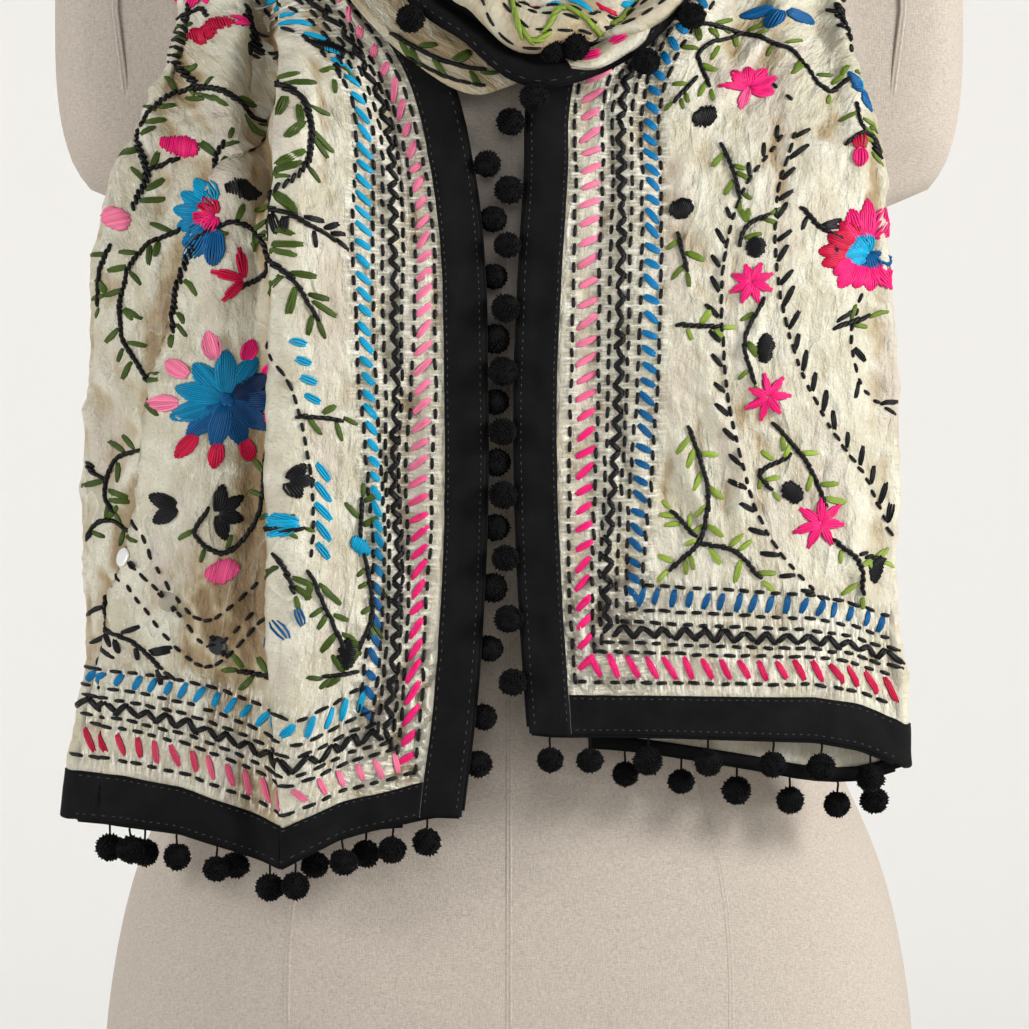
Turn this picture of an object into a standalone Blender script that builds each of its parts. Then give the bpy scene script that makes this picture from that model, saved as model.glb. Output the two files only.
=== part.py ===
"""An embroidered stole wound once round the neck of a limbless dress form.

The stole is one long cloth, folded in half lengthwise, with black tape and pompoms along
its edges. It runs from the hem on the left, over the left shoulder, behind the neck, round
the front as a loop, behind the neck again and over the right shoulder to the other hem.
Left and right are the viewer's. The front faces -Y, and the form stands on z = 0.

Every size in the tables is in millimetres, and MM turns the points into metres.
"""

import bpy
import numpy as np

MM = 0.001
# Keeps divisions defined on the form's own axis and on rows that don't change.
TINY = 1e-9

# Driving sizes of the stole.
WALL = 1.2
TAPE_WIDTH = 16.8
TAPE_THICK = 1.0
SEAM = 0.3
BALL_RADIUS = 6.5
BALL_SIDES = 6
# Rings of a pompom as shares of its radius: how far out from its root, and how wide.
HUNG_BALL = ((0.2, 0.62), (1.0, 1.0), (1.75, 0.62))
SET_BALL = ((0.25, 0.72), (1.0, 1.0), (1.75, 0.68))
THREAD_LENGTH = 4.5
THREAD_RADIUS = 0.8
TRIM_WIDTH = 1.6
TRIM_THICK = 1.4
TRIM_GAP = 0.5
# Any direction that no pompom points along: its rings start square to it.
RING_START = (0.3, 1.0, 0.2)
# How far into the strip a ball and a thread are rooted, from the strip's inner edge.
ROOT_DEPTH = (1.2, 0.35)

# The dress form, a row for each height: half width, depth to the front, depth to the back.
FORM_ROWS = (
    # z, half_width, front, back
    (0, 170, 104, 116),
    (76, 181, 112, 128),
    (125, 177.5, 112, 124),
    (178, 165.5, 108, 110),
    (225, 145, 101, 95),
    (276, 122, 92, 84),
    (330, 130, 96, 86),
    (400, 150, 112, 96),
    (460, 158, 112, 102),
    (520, 163, 98, 102),
    (580, 166, 78, 92),
    (618, 164, 62, 80),
    (636, 146, 54, 72),
    (652, 110, 50, 66),
    (668, 76, 48, 60),
    (684, 60, 48, 56),
    (702, 56, 50, 54),
    (748, 54, 50, 52),
)
FORM_SQUARENESS = 2.35
BUST_AT = (33.0, 412.0)
BUST_SPREAD = (17.0, 52.0)
BUST_HEIGHT = 17.0
ARM_CENTRE = (160.0, 4.0, 556.0)
ARM_RADII = (43.0, 50.0, 84.0)
ARM_SQUARENESS = 3.0
FORM_BLEND = 10.0
FORM_TOP = 762.0
FORM_HEIGHTS = (0, 38, 76, 125, 178, 225, 252, 276, 302, 330, 365, 400, 430, 458, 471, 474,
                479, 487, 500, 525, 556, 588, 612, 625, 636, 645, 654, 663, 673, 686, 702, 748)
FORM_COLUMNS = 44
FORM_REACH = 240.0
DOME_LIFTS = (30, 62)

# The hanging ends, a row for each height. gap is the room between the two layers, curl how
# far the free cloth falls back beyond the bust, and clear how far it lies off the form.
LEFT_END_ROWS = (
    # z, inner_x, outer_x, y, gap, ripple, curl, clear
    (170, -24, -197, -116, 12, 0.0, 34, 3.5),
    (206, -21.5, -193.5, -118, 11, 0.0, 34, 3.5),
    (262, -15, -183.5, -121, 8.5, 0.0, 36, 3.5),
    (333, -11, -185, -123, 7, 0.0, 38, 3.5),
    (395, -11, -183, -124, 7, 0.4, 40, 3.5),
    (438, -12, -182, -121, 7, 0.8, 40, 3.5),
    (476, -16, -175, -110, 7.5, 1.4, 38, 3.5),
    (510, -25, -163, -95, 8, 2.2, 30, 3.5),
    (555, -52, -145, -76, 8, 3.2, 18, 3.5),
)
RIGHT_END_ROWS = (
    # z, inner_x, outer_x, y, gap, ripple, curl, clear
    (200, 12, 175, -117, 13, 0.0, 34, 3.5),
    (240, 10, 173, -119, 11, 0.0, 34, 3.5),
    (275, 7.5, 170, -121, 8.5, 0.0, 36, 3.5),
    (333, 4.5, 168.5, -123, 7, 0.0, 38, 3.5),
    (395, 4, 167, -124, 7, 0.3, 40, 3.5),
    (438, 6, 163.5, -121, 7, 0.6, 40, 3.5),
    (476, 8.5, 163, -110, 7.5, 1.2, 38, 3.5),
    (510, 10.5, 161, -95, 8, 2.0, 30, 3.5),
    (555, 34, 151, -76, 8, 3.2, 18, 3.5),
)

# The way over the shoulder and behind the neck, a row for each station of the strand's middle.
# out_x, out_y and out_z point away from the body.
LEFT_WAY_ROWS = (
    # x, y, z, out_x, out_y, out_z, width, gap, ripple, curl, clear
    (-112, -52, 606, -0.10, -0.85, 0.50, 84, 8, 3.5, 8, 4.8),
    (-126, -26, 634, -0.20, -0.50, 0.85, 78, 8, 3.5, 0, 5.2),
    (-132, 4, 641, -0.30, 0.05, 0.95, 76, 8, 3.5, 0, 6.3),
    (-123, 34, 636, -0.30, 0.50, 0.80, 74, 8, 3.5, 0, 6.3),
    (-95, 58, 641, -0.25, 0.78, 0.60, 64, 8, 3.5, 0, 4.5),
    (-50, 64, 654, -0.12, 0.92, 0.38, 66, 8, 3.5, 0, 4),
    (-6, 60, 666, 0.05, 0.95, 0.28, 64, 8, 3.5, 0, 4),
    (34, 50, 676, 0.45, 0.85, 0.30, 60, 8, 3.5, 0, 4),
    (56, 28, 680, 0.85, 0.40, 0.40, 54, 8, 3.5, 0, 4.5),
    (66, 0, 674, 0.75, 0.00, 0.65, 50, 8, 3.5, 0, 4.5),
    (66, -24, 664, 0.60, -0.45, 0.65, 52, 8, 3.5, 0, 11),
)
RIGHT_WAY_ROWS = (
    # x, y, z, out_x, out_y, out_z, width, gap, ripple, curl, clear
    (115, -52, 606, 0.10, -0.85, 0.50, 82, 8, 3.5, 8, 4.5),
    (132, -26, 634, 0.20, -0.50, 0.85, 74, 8, 3.5, 0, 4.5),
    (139, 4, 640, 0.30, 0.05, 0.95, 71, 8, 3.5, 0, 6),
    (128, 34, 638, 0.30, 0.50, 0.80, 72, 8, 3.5, 0, 11),
    (92, 56, 648, 0.25, 0.78, 0.60, 72, 8, 3.5, 0, 21),
    (48, 60, 660, 0.12, 0.92, 0.38, 70, 8, 3.5, 0, 22),
    (6, 58, 670, -0.05, 0.95, 0.28, 68, 8, 3.5, 0, 25),
    (-34, 50, 678, -0.45, 0.85, 0.30, 62, 8, 3.5, 0, 31),
    (-58, 26, 680, -0.85, 0.40, 0.40, 56, 8, 3.5, 0, 33),
    (-70, 0, 672, -0.70, 0.00, 0.70, 52, 8, 3.5, 0, 27),
    (-70, -24, 662, -0.60, -0.45, 0.65, 54, 8, 3.5, 0, 21),
)
LOOP_ROWS = (
    # x, y, z, out_x, out_y, out_z, width, gap, ripple, curl, clear
    (56, 28, 680, 0.85, 0.40, 0.40, 54, 8, 3.5, 0, 4.5),
    (66, 0, 674, 0.75, 0.00, 0.65, 50, 8, 3.5, 0, 4.5),
    (66, -24, 664, 0.60, -0.45, 0.65, 52, 8, 3.5, 0, 11),
    (66, -46, 644, 0.40, -0.75, 0.50, 54, 8, 3.5, 0, 20),
    (64, -72, 612, 0.25, -0.95, 0.25, 58, 8, 3.5, 0, 20.5),
    (54, -90, 581, 0.15, -1.00, 0.14, 60, 8.5, 3.5, 0, 20.5),
    (34, -100, 555, 0.06, -1.00, 0.10, 60, 9, 3.5, 0, 18.6),
    (8, -108, 546, 0.00, -1.00, 0.06, 59, 9, 3.5, 0, 17),
    (-15, -104, 549, -0.06, -1.00, 0.10, 61, 9, 3.5, 0, 18.6),
    (-38, -92, 569, -0.15, -1.00, 0.14, 63, 8.5, 3.5, 0, 20.5),
    (-55, -73, 603, -0.25, -0.90, 0.30, 62, 8, 3.5, 0, 20.5),
    (-67, -46, 642, -0.40, -0.70, 0.55, 56, 8, 3.5, 0, 20),
    (-70, -24, 662, -0.60, -0.45, 0.65, 54, 8, 3.5, 0, 21),
    (-70, 0, 672, -0.70, 0.00, 0.70, 52, 8, 3.5, 0, 27),
    (-58, 26, 680, -0.85, 0.40, 0.40, 56, 8, 3.5, 0, 33),
)

# Where each strand is cut into its stretches: the number of the station in its table.
CREST_STATION = 2
TUCK_STATION = 9
LOOP_FIRST, LOOP_LAST = 1, 13
JOINT_GAP = 0.6

# Hems, as height of the edge against distance from the inner edge as a share of the width.
LEFT_HEM = ((0.0, 207), (0.06, 207), (0.18, 200.5), (0.30, 194.5), (0.433, 183.5), (0.56, 191.5),
            (0.70, 199.5), (0.85, 203.5), (1.0, 205.5))
RIGHT_HEM = ((0.0, 241), (0.06, 239.6), (0.34, 239), (0.58, 238.5), (0.75, 237.5), (0.87, 234.5),
             (1.0, 226))
LEFT_HEM_BEHIND = ((0.0, 203), (0.3, 196), (0.433, 190), (0.6, 196), (0.85, 202), (1.0, 205.5))
RIGHT_HEM_BEHIND = ((0.0, 234), (0.2, 233), (0.36, 231), (0.5, 227), (0.62, 229), (0.75, 225),
                    (0.87, 226.5), (1.0, 226))

# Creases on the hanging ends: a line from (x0, z0) to (x1, z1), its height at each end, and
# how far each flank spreads.
LEFT_CREASES = (
    # x0, z0, h0, x1, z1, h1, flank_left, flank_right
    (-97, 560, 11, -96, 180, 6, 7, 24),
    (-110, 560, -4, -108, 400, -2, 6, 6),
    (-103, 505, 4, -178, 260, 2.5, 12, 34),
    (-60, 560, 4, -52, 420, 0, 8, 10),
)
RIGHT_CREASES = (
    # x0, z0, h0, x1, z1, h1, flank_left, flank_right
    (134, 560, 4, 138, 430, 0, 7, 9),
    (156, 560, 4, 154, 450, 0, 6, 6),
    (92, 560, 3, 96, 470, 0, 8, 8),
)
CREASE_FADE = 20.0
CREASE_TOP_FADE = 40.0
RIPPLES = 3.0
RIPPLE_START = 0.6
RIPPLE_FADE = 12.0
SETBACK = 24.0

# How the cloth finds its rest: the steps out from the strand's middle at which the form is
# sought, the softness of the bend where it leaves the form, and where the free fall begins.
REST_STEPS = np.arange(-110.0, 70.0, 1.5)
REST_BLEND = 6.0
FREE_FROM = 80.0
FREE_SPAN = 100.0

# Sampling of the sections: columns on the tape, shares of the width beyond it, and turns
# round the fold.
TAPE_COLUMNS = 3
FRONT_SHARES = (0.07, 0.15, 0.22, 0.30, 0.38, 0.44, 0.50, 0.56, 0.63, 0.70, 0.77, 0.84, 0.91, 1.0)
FOLD_TURNS = (0.33, 0.67)
BACK_SHARES = (1.0, 0.75, 0.5, 0.25, 0.0)
FRONT_COUNT = TAPE_COLUMNS + len(FRONT_SHARES)
FOLD_COUNT = len(FOLD_TURNS)
END_RISES = (0.0, 0.04, 0.12, 0.21, 0.30, 0.38, 0.46, 0.53, 0.59, 0.65, 0.71, 0.77, 0.83,
             0.88, 0.92, 0.96, 1.0)

# Pompoms: heights on the sides, and places along the hems from the inner edge.
LEFT_SIDE_BALLS = (485, 461, 436, 409, 382, 356, 328, 302, 276, 247, 227)
RIGHT_SIDE_BALLS = (503, 473, 449, 422, 395, 369, 342, 315, 289, 262)
LEFT_HEM_BALLS = (14, 29, 50, 71, 85, 110, 128, 150)
LEFT_BEHIND_BALLS = (40, 62, 97, 140, 158)
RIGHT_HEM_BALLS = (8, 25, 50, 76, 104, 126, 150)
RIGHT_BEHIND_BALLS = (40, 64, 88, 112, 134, 152)
NAPE_BALLS = (-81, -54, -27, 0, 27, 54, 81)
LOOP_BALLS = (-122, -95, -68, -41, 13, 38, 64, 91, 118)
TRIM_SPARE = 14.0

# The side pompoms hang a little behind the cloth, the left ones further back, where there
# is room for them in front of the form.
SIDE_TRIM_TOP = 528.0
LEFT_LEAN = 1.4
RIGHT_LEAN = -0.8
STRETCH_LEAN = 0.65
LEAN_TOP = 480.0
LEAN_FADE = 40.0

# The gathered stretches.
NAPE_ROWS = 12
NAPE_SETBACK = 12.0
LOOP_ROWS_ALONG = 23
LOOP_SETBACK = 6.0
LOOP_BARE = 20.0
LOOP_BARE_FROM = 12.0
LOOP_BARE_FADE = 28.0
LOOP_BARE_END = 60.0


# Finishes: base colour, roughness and metallic value.
LINEN = ((0.50, 0.44, 0.39), 0.9, 0.0)
SILK = ((0.58, 0.53, 0.42), 0.55, 0.0)
BLACK_TAPE = ((0.006, 0.006, 0.007), 0.8, 0.0)
BLACK_WOOL = ((0.005, 0.005, 0.006), 0.95, 0.0)
SHARP_ANGLE = 40


def clear_scene():
    for thing in list(bpy.data.objects):
        bpy.data.objects.remove(thing)


def material(name, finish):
    colour, roughness, metallic = finish
    made = bpy.data.materials.new(name)
    made.use_nodes = True
    shader = made.node_tree.nodes["Principled BSDF"]
    shader.inputs["Base Color"].default_value = (*colour, 1.0)
    shader.inputs["Roughness"].default_value = roughness
    shader.inputs["Metallic"].default_value = metallic
    return made


def add_object(name, points, faces, finish):
    """One object from points in millimetres and faces that point outwards."""
    mesh = bpy.data.meshes.new(name)
    mesh.from_pydata((np.asarray(points) * MM).tolist(), [], [list(map(int, f)) for f in faces])
    mesh.materials.append(material(name, finish))
    mesh.shade_smooth()
    mesh.set_sharp_from_angle(angle=np.radians(SHARP_ANGLE))
    thing = bpy.data.objects.new(name, mesh)
    bpy.context.collection.objects.link(thing)
    return thing


def curve_through(at, known, values):
    """Smooth values between known places: a cubic whose slopes are those of the neighbours."""
    known = np.asarray(known, float)
    values = np.asarray(values, float)
    slopes = np.gradient(values, known, axis=0)
    left = np.clip(np.searchsorted(known, at) - 1, 0, len(known) - 2)
    span = known[left + 1] - known[left]
    part = np.clip((at - known[left]) / span, 0, 1)
    if values.ndim > 1:
        span, part = span[..., None], part[..., None]
    rise = 3 * part**2 - 2 * part**3
    return (values[left] * (1 - rise) + values[left + 1] * rise
            + span * slopes[left] * (part**3 - 2 * part**2 + part)
            + span * slopes[left + 1] * (part**3 - part**2))


def smooth_max(first, second, blend):
    """The larger of two values, rounded off where they are within blend of each other."""
    share = np.clip(0.5 + 0.5 * (first - second) / blend, 0, 1)
    return second + (first - second) * share + blend * share * (1 - share)


def form_field(points):
    """Below zero inside the form: the torso and the two arm stubs, blended where they meet."""
    x, y, z = np.moveaxis(points, -1, 0)
    rows = np.array(FORM_ROWS, float)
    half, front, back = (curve_through(z, rows[:, 0], rows[:, k]) for k in (1, 2, 3))
    far = np.hypot(x, y) + TINY
    side, ahead = x / far + TINY, -y / far + TINY
    depth = np.where(ahead > 0, front, back)
    power = FORM_SQUARENESS
    edge = (np.abs(side / half) ** power + np.abs(ahead / depth) ** power) ** (-1 / power)
    turn = np.degrees(np.arctan2(np.abs(side), ahead))
    edge = edge + BUST_HEIGHT * np.exp(-(((turn - BUST_AT[0]) / BUST_SPREAD[0]) ** 2)
                                       - ((z - BUST_AT[1]) / BUST_SPREAD[1]) ** 2)
    torso = far - edge
    parts = [np.abs(value) / radius for value, radius in
             zip((np.abs(x) - ARM_CENTRE[0], y - ARM_CENTRE[1], z - ARM_CENTRE[2]), ARM_RADII)]
    arm = (sum(part**ARM_SQUARENESS for part in parts) ** (1 / ARM_SQUARENESS) - 1) * ARM_RADII[0]
    return -smooth_max(-torso, -arm, FORM_BLEND)


def outermost(field, steps):
    """The furthest step at which each row of the field is still inside, or the first step."""
    inside = field < 0
    last = field.shape[-1] - 1 - np.argmax(inside[..., ::-1], axis=-1)
    last = np.clip(last, 0, field.shape[-1] - 2)
    low = np.take_along_axis(field, last[..., None], -1)[..., 0]
    high = np.take_along_axis(field, last[..., None] + 1, -1)[..., 0]
    found = steps[last] + (steps[1] - steps[0]) * np.clip(-low / (high - low + TINY), 0, 1)
    return np.where(inside.any(axis=-1), found, steps[0])


def build_form():
    """Rings of the form's outline, a flat base and a low dome over the neck."""
    turns = np.linspace(0, 2 * np.pi, FORM_COLUMNS, endpoint=False)
    heights = np.array(FORM_HEIGHTS, float)
    ways = np.stack([np.sin(turns), -np.cos(turns)], axis=-1)
    steps = np.arange(0.0, FORM_REACH, 1.0)
    grid = np.zeros((len(heights), FORM_COLUMNS, len(steps), 3))
    grid[..., :2] = ways[None, :, None, :] * steps[None, None, :, None]
    grid[..., 2] = heights[:, None, None]
    radius = outermost(form_field(grid), steps)
    brow, rim = heights[-1], radius[-1]
    for lift in np.radians(DOME_LIFTS):
        heights = np.append(heights, brow + (FORM_TOP - brow) * np.sin(lift))
        radius = np.vstack([radius, rim * np.cos(lift)])
    rings = np.zeros((len(heights), FORM_COLUMNS, 3))
    rings[..., :2] = ways[None] * radius[..., None]
    rings[..., 2] = heights[:, None]
    points = np.vstack([rings.reshape(-1, 3), [[0, 0, 0], [0, 0, FORM_TOP]]])
    base, top = len(points) - 2, len(points) - 1
    around = np.arange(FORM_COLUMNS)
    after = (around + 1) % FORM_COLUMNS
    faces = []
    for row in range(len(heights) - 1):
        low, high = row * FORM_COLUMNS, (row + 1) * FORM_COLUMNS
        faces += [(low + a, low + b, high + b, high + a) for a, b in zip(around, after)]
    crown = (len(heights) - 1) * FORM_COLUMNS
    faces += [(b, a, base) for a, b in zip(around, after)]
    faces += [(crown + a, crown + b, top) for a, b in zip(around, after)]
    add_object("dress_form", points, faces, LINEN)


def strand_of(end_rows, way_rows, hand):
    """One strand of the stole: its stations as an array, measured along its middle line."""
    rows = []
    for z, inner, outer, y, gap, ripple, curl, clear in end_rows:
        rows.append(((inner + outer) / 2, y, z, 0, -1, 0, abs(outer - inner), gap, ripple, curl, clear))
    rows = np.array(rows + list(way_rows), float)
    along = np.concatenate([[0], np.cumsum(np.linalg.norm(np.diff(rows[:, :3], axis=0), axis=1))])
    return {"along": along, "rows": rows, "hand": hand, "hanging": len(end_rows)}


def frame_at(strand, along):
    """Middle point, the way towards the tape edge, the way out, and the other columns."""
    values = curve_through(along, strand["along"], strand["rows"])
    ahead = curve_through(along + 1.0, strand["along"], strand["rows"])[..., :3]
    behind = curve_through(along - 1.0, strand["along"], strand["rows"])[..., :3]
    run = ahead - behind
    run /= np.linalg.norm(run, axis=-1, keepdims=True)
    out = values[..., 3:6]
    out = out - run * (out * run).sum(-1, keepdims=True)
    out /= np.linalg.norm(out, axis=-1, keepdims=True)
    side = np.cross(run, out) * strand["hand"]
    return values[..., :3], side, out, values[..., 6:]


def rest_height(middle, side, out, across, curl, clear):
    """How far out the cloth lies at this place: on the form, or free where it hangs."""
    foot = middle + side * across[..., None]
    grid = foot[..., None, :] + out[..., None, :] * REST_STEPS[:, None]
    touching = outermost(form_field(grid), REST_STEPS) + clear
    free = -curl * np.clip((np.abs(foot[..., 0]) - FREE_FROM) / FREE_SPAN, 0, None) ** 2
    return smooth_max(touching, free, REST_BLEND)


def crease_height(creases, x, z):
    """Soft ridges along straight lines, with a steep and a slack flank."""
    total = np.zeros_like(x)
    for x0, z0, h0, x1, z1, h1, left, right in creases:
        share = np.clip((z - z0) / (z1 - z0), 0, 1)
        away = x - (x0 + (x1 - x0) * share)
        spread = np.where(away < 0, left, right)
        fade = np.clip((z0 + CREASE_FADE - z) / CREASE_FADE, 0, 1)
        total = total + (h0 + (h1 - h0) * share) * fade * np.exp(-((away / spread) ** 2))
    return total


def cloth_point(strand, along, from_edge, layer, inset, creases=()):
    """Points of the cloth's middle surface.

    from_edge runs from the taped edge towards the fold. layer is 0 on the front layer,
    1 on the back layer, and between them round the fold, where it is the share of the turn.
    The ripples start at the front layer's own edge, inset from the edge of the section.
    """
    middle, side, out, rest = frame_at(strand, along)
    width, gap, ripple, curl, clear = np.moveaxis(rest, -1, 0)
    across = width / 2 - from_edge
    share = (from_edge - inset) / (width - inset)
    relief = ripple * np.sin(2 * np.pi * RIPPLES * share + RIPPLE_START)
    if len(creases):
        foot = middle + side * across[..., None]
        hanging = np.clip((strand["along"][strand["hanging"] - 1] - along) / CREASE_TOP_FADE, 0, 1)
        relief = relief + hanging * crease_height(creases, foot[..., 0], foot[..., 2])
    relief = relief * np.clip((width - from_edge - gap / 2) / RIPPLE_FADE, 0, 1)
    turn = np.pi * layer
    across = np.where((layer > 0) & (layer < 1), -width / 2 + gap / 2 - gap / 2 * np.sin(turn), across)
    height = np.where(layer == 0, gap + relief, gap / 2 + gap / 2 * np.cos(turn))
    height = height + rest_height(middle, side, out, across, curl, clear) + WALL / 2
    return middle + side * across[..., None] + out * height[..., None]


def section_columns(width, gap, setback, inset=0.0):
    """Distances from the taped edge and layer numbers, right round one section."""
    tape = inset + np.array([0.0, TAPE_WIDTH / 2, TAPE_WIDTH])
    front = np.concatenate([tape, tape[-1] + np.array(FRONT_SHARES) * (width - gap / 2 - tape[-1])])
    turn = np.full(len(FOLD_TURNS), width)
    back = setback + np.array(BACK_SHARES) * (width - gap / 2 - setback)
    from_edge = np.concatenate([front, turn, back])
    layer = np.concatenate([np.zeros(len(front)), FOLD_TURNS, np.ones(len(back))])
    return from_edge, layer


def cloth_grid(strand, along, setback, inset=0.0, creases=()):
    """Rows along the strand by columns round the section. along has the grid's shape or one column.

    setback and inset say how far the back layer and the front layer stop short of the edge.
    """
    rows = len(along)
    columns = FRONT_COUNT + FOLD_COUNT + len(BACK_SHARES)
    along = np.broadcast_to(along, (rows, columns)).astype(float)
    width, gap = frame_at(strand, along[:, FRONT_COUNT])[3][:, :2].T
    setback = np.broadcast_to(setback, rows)
    inset = np.broadcast_to(inset, rows)
    pairs = [section_columns(*row) for row in zip(width, gap, setback, inset)]
    from_edge = np.array([pair[0] for pair in pairs])
    layer = np.array([pair[1] for pair in pairs])
    return cloth_point(strand, along, from_edge, layer, inset[:, None], creases)


def grid_normals(grid):
    """Unit normals of a grid, from the differences along its rows and its columns."""
    normal = np.cross(np.gradient(grid, axis=0), np.gradient(grid, axis=1))
    return normal / (np.linalg.norm(normal, axis=-1, keepdims=True) + TINY)


def wall_mesh(grid, normal, thickness, offset=0.0):
    """Points and faces of a closed wall round a grid: both skins and the four edges."""
    rows, columns = grid.shape[:2]
    outer = grid + normal * (offset + thickness / 2)
    inner = grid + normal * (offset - thickness / 2)
    points = np.vstack([outer.reshape(-1, 3), inner.reshape(-1, 3)])
    number = np.arange(rows * columns).reshape(rows, columns)
    under = number + rows * columns
    faces = []
    for i in range(rows - 1):
        for j in range(columns - 1):
            a, b, c, d = number[i, j], number[i + 1, j], number[i + 1, j + 1], number[i, j + 1]
            for face in ((a, b, c), (a, c, d)):
                faces += [face, tuple(k + rows * columns for k in face[::-1])]
    rim = np.concatenate([number[0, :], number[1:, -1], number[-1, -2::-1], number[-2:0:-1, 0]])
    low = np.concatenate([under[0, :], under[1:, -1], under[-1, -2::-1], under[-2:0:-1, 0]])
    faces += [(rim[k], rim[(k + 1) % len(rim)], low[(k + 1) % len(rim)], low[k]) for k in range(len(rim))]
    return points, faces


def add_wall(name, grid, normal, thickness, finish, offset=0.0):
    """A wall with its faces turned out whichever way the grid winds."""
    points, faces = wall_mesh(grid, normal, thickness, offset)
    fans = [(f[0], f[k], f[k + 1]) for f in faces for k in range(1, len(f) - 1)]
    if np.linalg.det(points[np.array(fans)]).sum() < 0:
        faces = [f[::-1] for f in faces]
    return add_object(name, points, faces, finish)


def hem_height(table, share):
    known, heights = np.array(table, float).T
    return np.interp(share, known, heights)


def end_along(strand, hem, hem_behind, setback, crest):
    """Where along the strand each point of a hanging end lies, so that the bottom row is the hem."""
    columns = FRONT_COUNT + FOLD_COUNT + len(BACK_SHARES)
    bottom = strand["rows"][0, 2]
    start = np.array([hem[0][1] - bottom])
    width, gap = frame_at(strand, start)[3][0, :2]
    from_edge, layer = section_columns(width, gap, setback)
    share = np.clip(from_edge / width, 0, 1)
    edge = np.where(layer < 1, hem_height(hem, share), hem_height(hem_behind, share)) - bottom
    end = strand["along"][crest]
    rises = np.array(END_RISES)[:, None]
    along = edge[None] + rises * (end - edge[None])
    along[1] = edge + TAPE_WIDTH
    return along.reshape(len(rises), columns)


def pompoms(bases, ways, thread):
    """Turned balls on short threads as one mesh: each starts at its base and runs its way."""
    rings = HUNG_BALL if thread else SET_BALL
    profile = [(thread + reach * BALL_RADIUS, wide * BALL_RADIUS) for reach, wide in rings]
    if thread:
        profile = [(0.0, THREAD_RADIUS), (thread, THREAD_RADIUS)] + profile
    tip = thread + 2 * BALL_RADIUS
    turns = np.linspace(0, 2 * np.pi, BALL_SIDES, endpoint=False)
    points, faces = [], []
    for base, way in zip(bases, ways):
        way = way / np.linalg.norm(way)
        first = np.cross(way, RING_START)
        first /= np.linalg.norm(first)
        second = np.cross(way, first)
        start = len(points)
        points.append(base)
        ring = np.cos(turns)[:, None] * first + np.sin(turns)[:, None] * second
        for reach, wide in profile:
            points += list(base + way * reach + wide * ring)
        points.append(base + way * tip)
        last = len(points) - 1
        for k in range(BALL_SIDES):
            after = (k + 1) % BALL_SIDES
            faces.append((start, start + 1 + after, start + 1 + k))
            for ring in range(len(profile) - 1):
                low = start + 1 + ring * BALL_SIDES
                high = low + BALL_SIDES
                faces.append((low + k, low + after, high + after, high + k))
            top = start + 1 + (len(profile) - 1) * BALL_SIDES
            faces.append((last, top + k, top + after))
    return points, faces


def add_trim(name, edge, away, ways, balls, thread):
    """A narrow strip just beyond an edge, with its pompoms grown onto it.

    edge holds the points of the cloth's edge, away the way out of the cloth there, and ways
    the way that a pompom points. balls are places on the run of points, as fractional numbers.
    """
    grid = np.stack([edge + away * TRIM_GAP, edge + away * (TRIM_GAP + TRIM_WIDTH)], axis=1)
    strip = add_wall(name, grid, grid_normals(grid), TRIM_THICK, BLACK_WOOL)
    known = np.arange(len(edge))
    where = np.asarray(balls, float)
    base = np.stack([np.interp(where, known, grid[:, 0, k]) for k in range(3)], axis=-1)
    out = np.stack([np.interp(where, known, away[:, k]) for k in range(3)], axis=-1)
    ways = np.stack([np.interp(where, known, ways[:, k]) for k in range(3)], axis=-1)
    points, faces = pompoms(base + out * ROOT_DEPTH[thread > 0], ways, thread)
    helper = add_object(name + "_balls", points, faces, BLACK_WOOL)
    helper.hide_render = True
    helper.display_type = "WIRE"
    join = strip.modifiers.new("pompoms", "BOOLEAN")
    join.operation = "UNION"
    join.object = helper
    return strip


def run_length(points):
    """Distance along a run of points, from its first."""
    return np.concatenate([[0], np.cumsum(np.linalg.norm(np.diff(points, axis=0), axis=1))])


def places_by_height(points, heights):
    """The place of each height on a run of points that rises, as a fractional number of points."""
    order = np.argsort(points[:, 2])
    return np.interp(heights, points[order, 2], np.arange(len(points))[order])


def add_tape(name, grid, normal):
    """Tape on the outside of the cloth: the cloth's own points, moved out past its wall."""
    add_wall(name, grid, normal, TAPE_THICK, BLACK_TAPE, WALL / 2 + SEAM + TAPE_THICK / 2)


def add_hem_trim(name, edge, first, balls):
    """Pompoms that hang on threads below a hem. balls are distances from the inner edge."""
    down = np.tile((0.0, 0.0, -1.0), (len(edge), 1))
    level = edge * (1.0, 1.0, 0.0)
    places = np.interp(balls, first + run_length(level), np.arange(len(edge)))
    add_trim(name, edge, down, down, places, THREAD_LENGTH)


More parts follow.
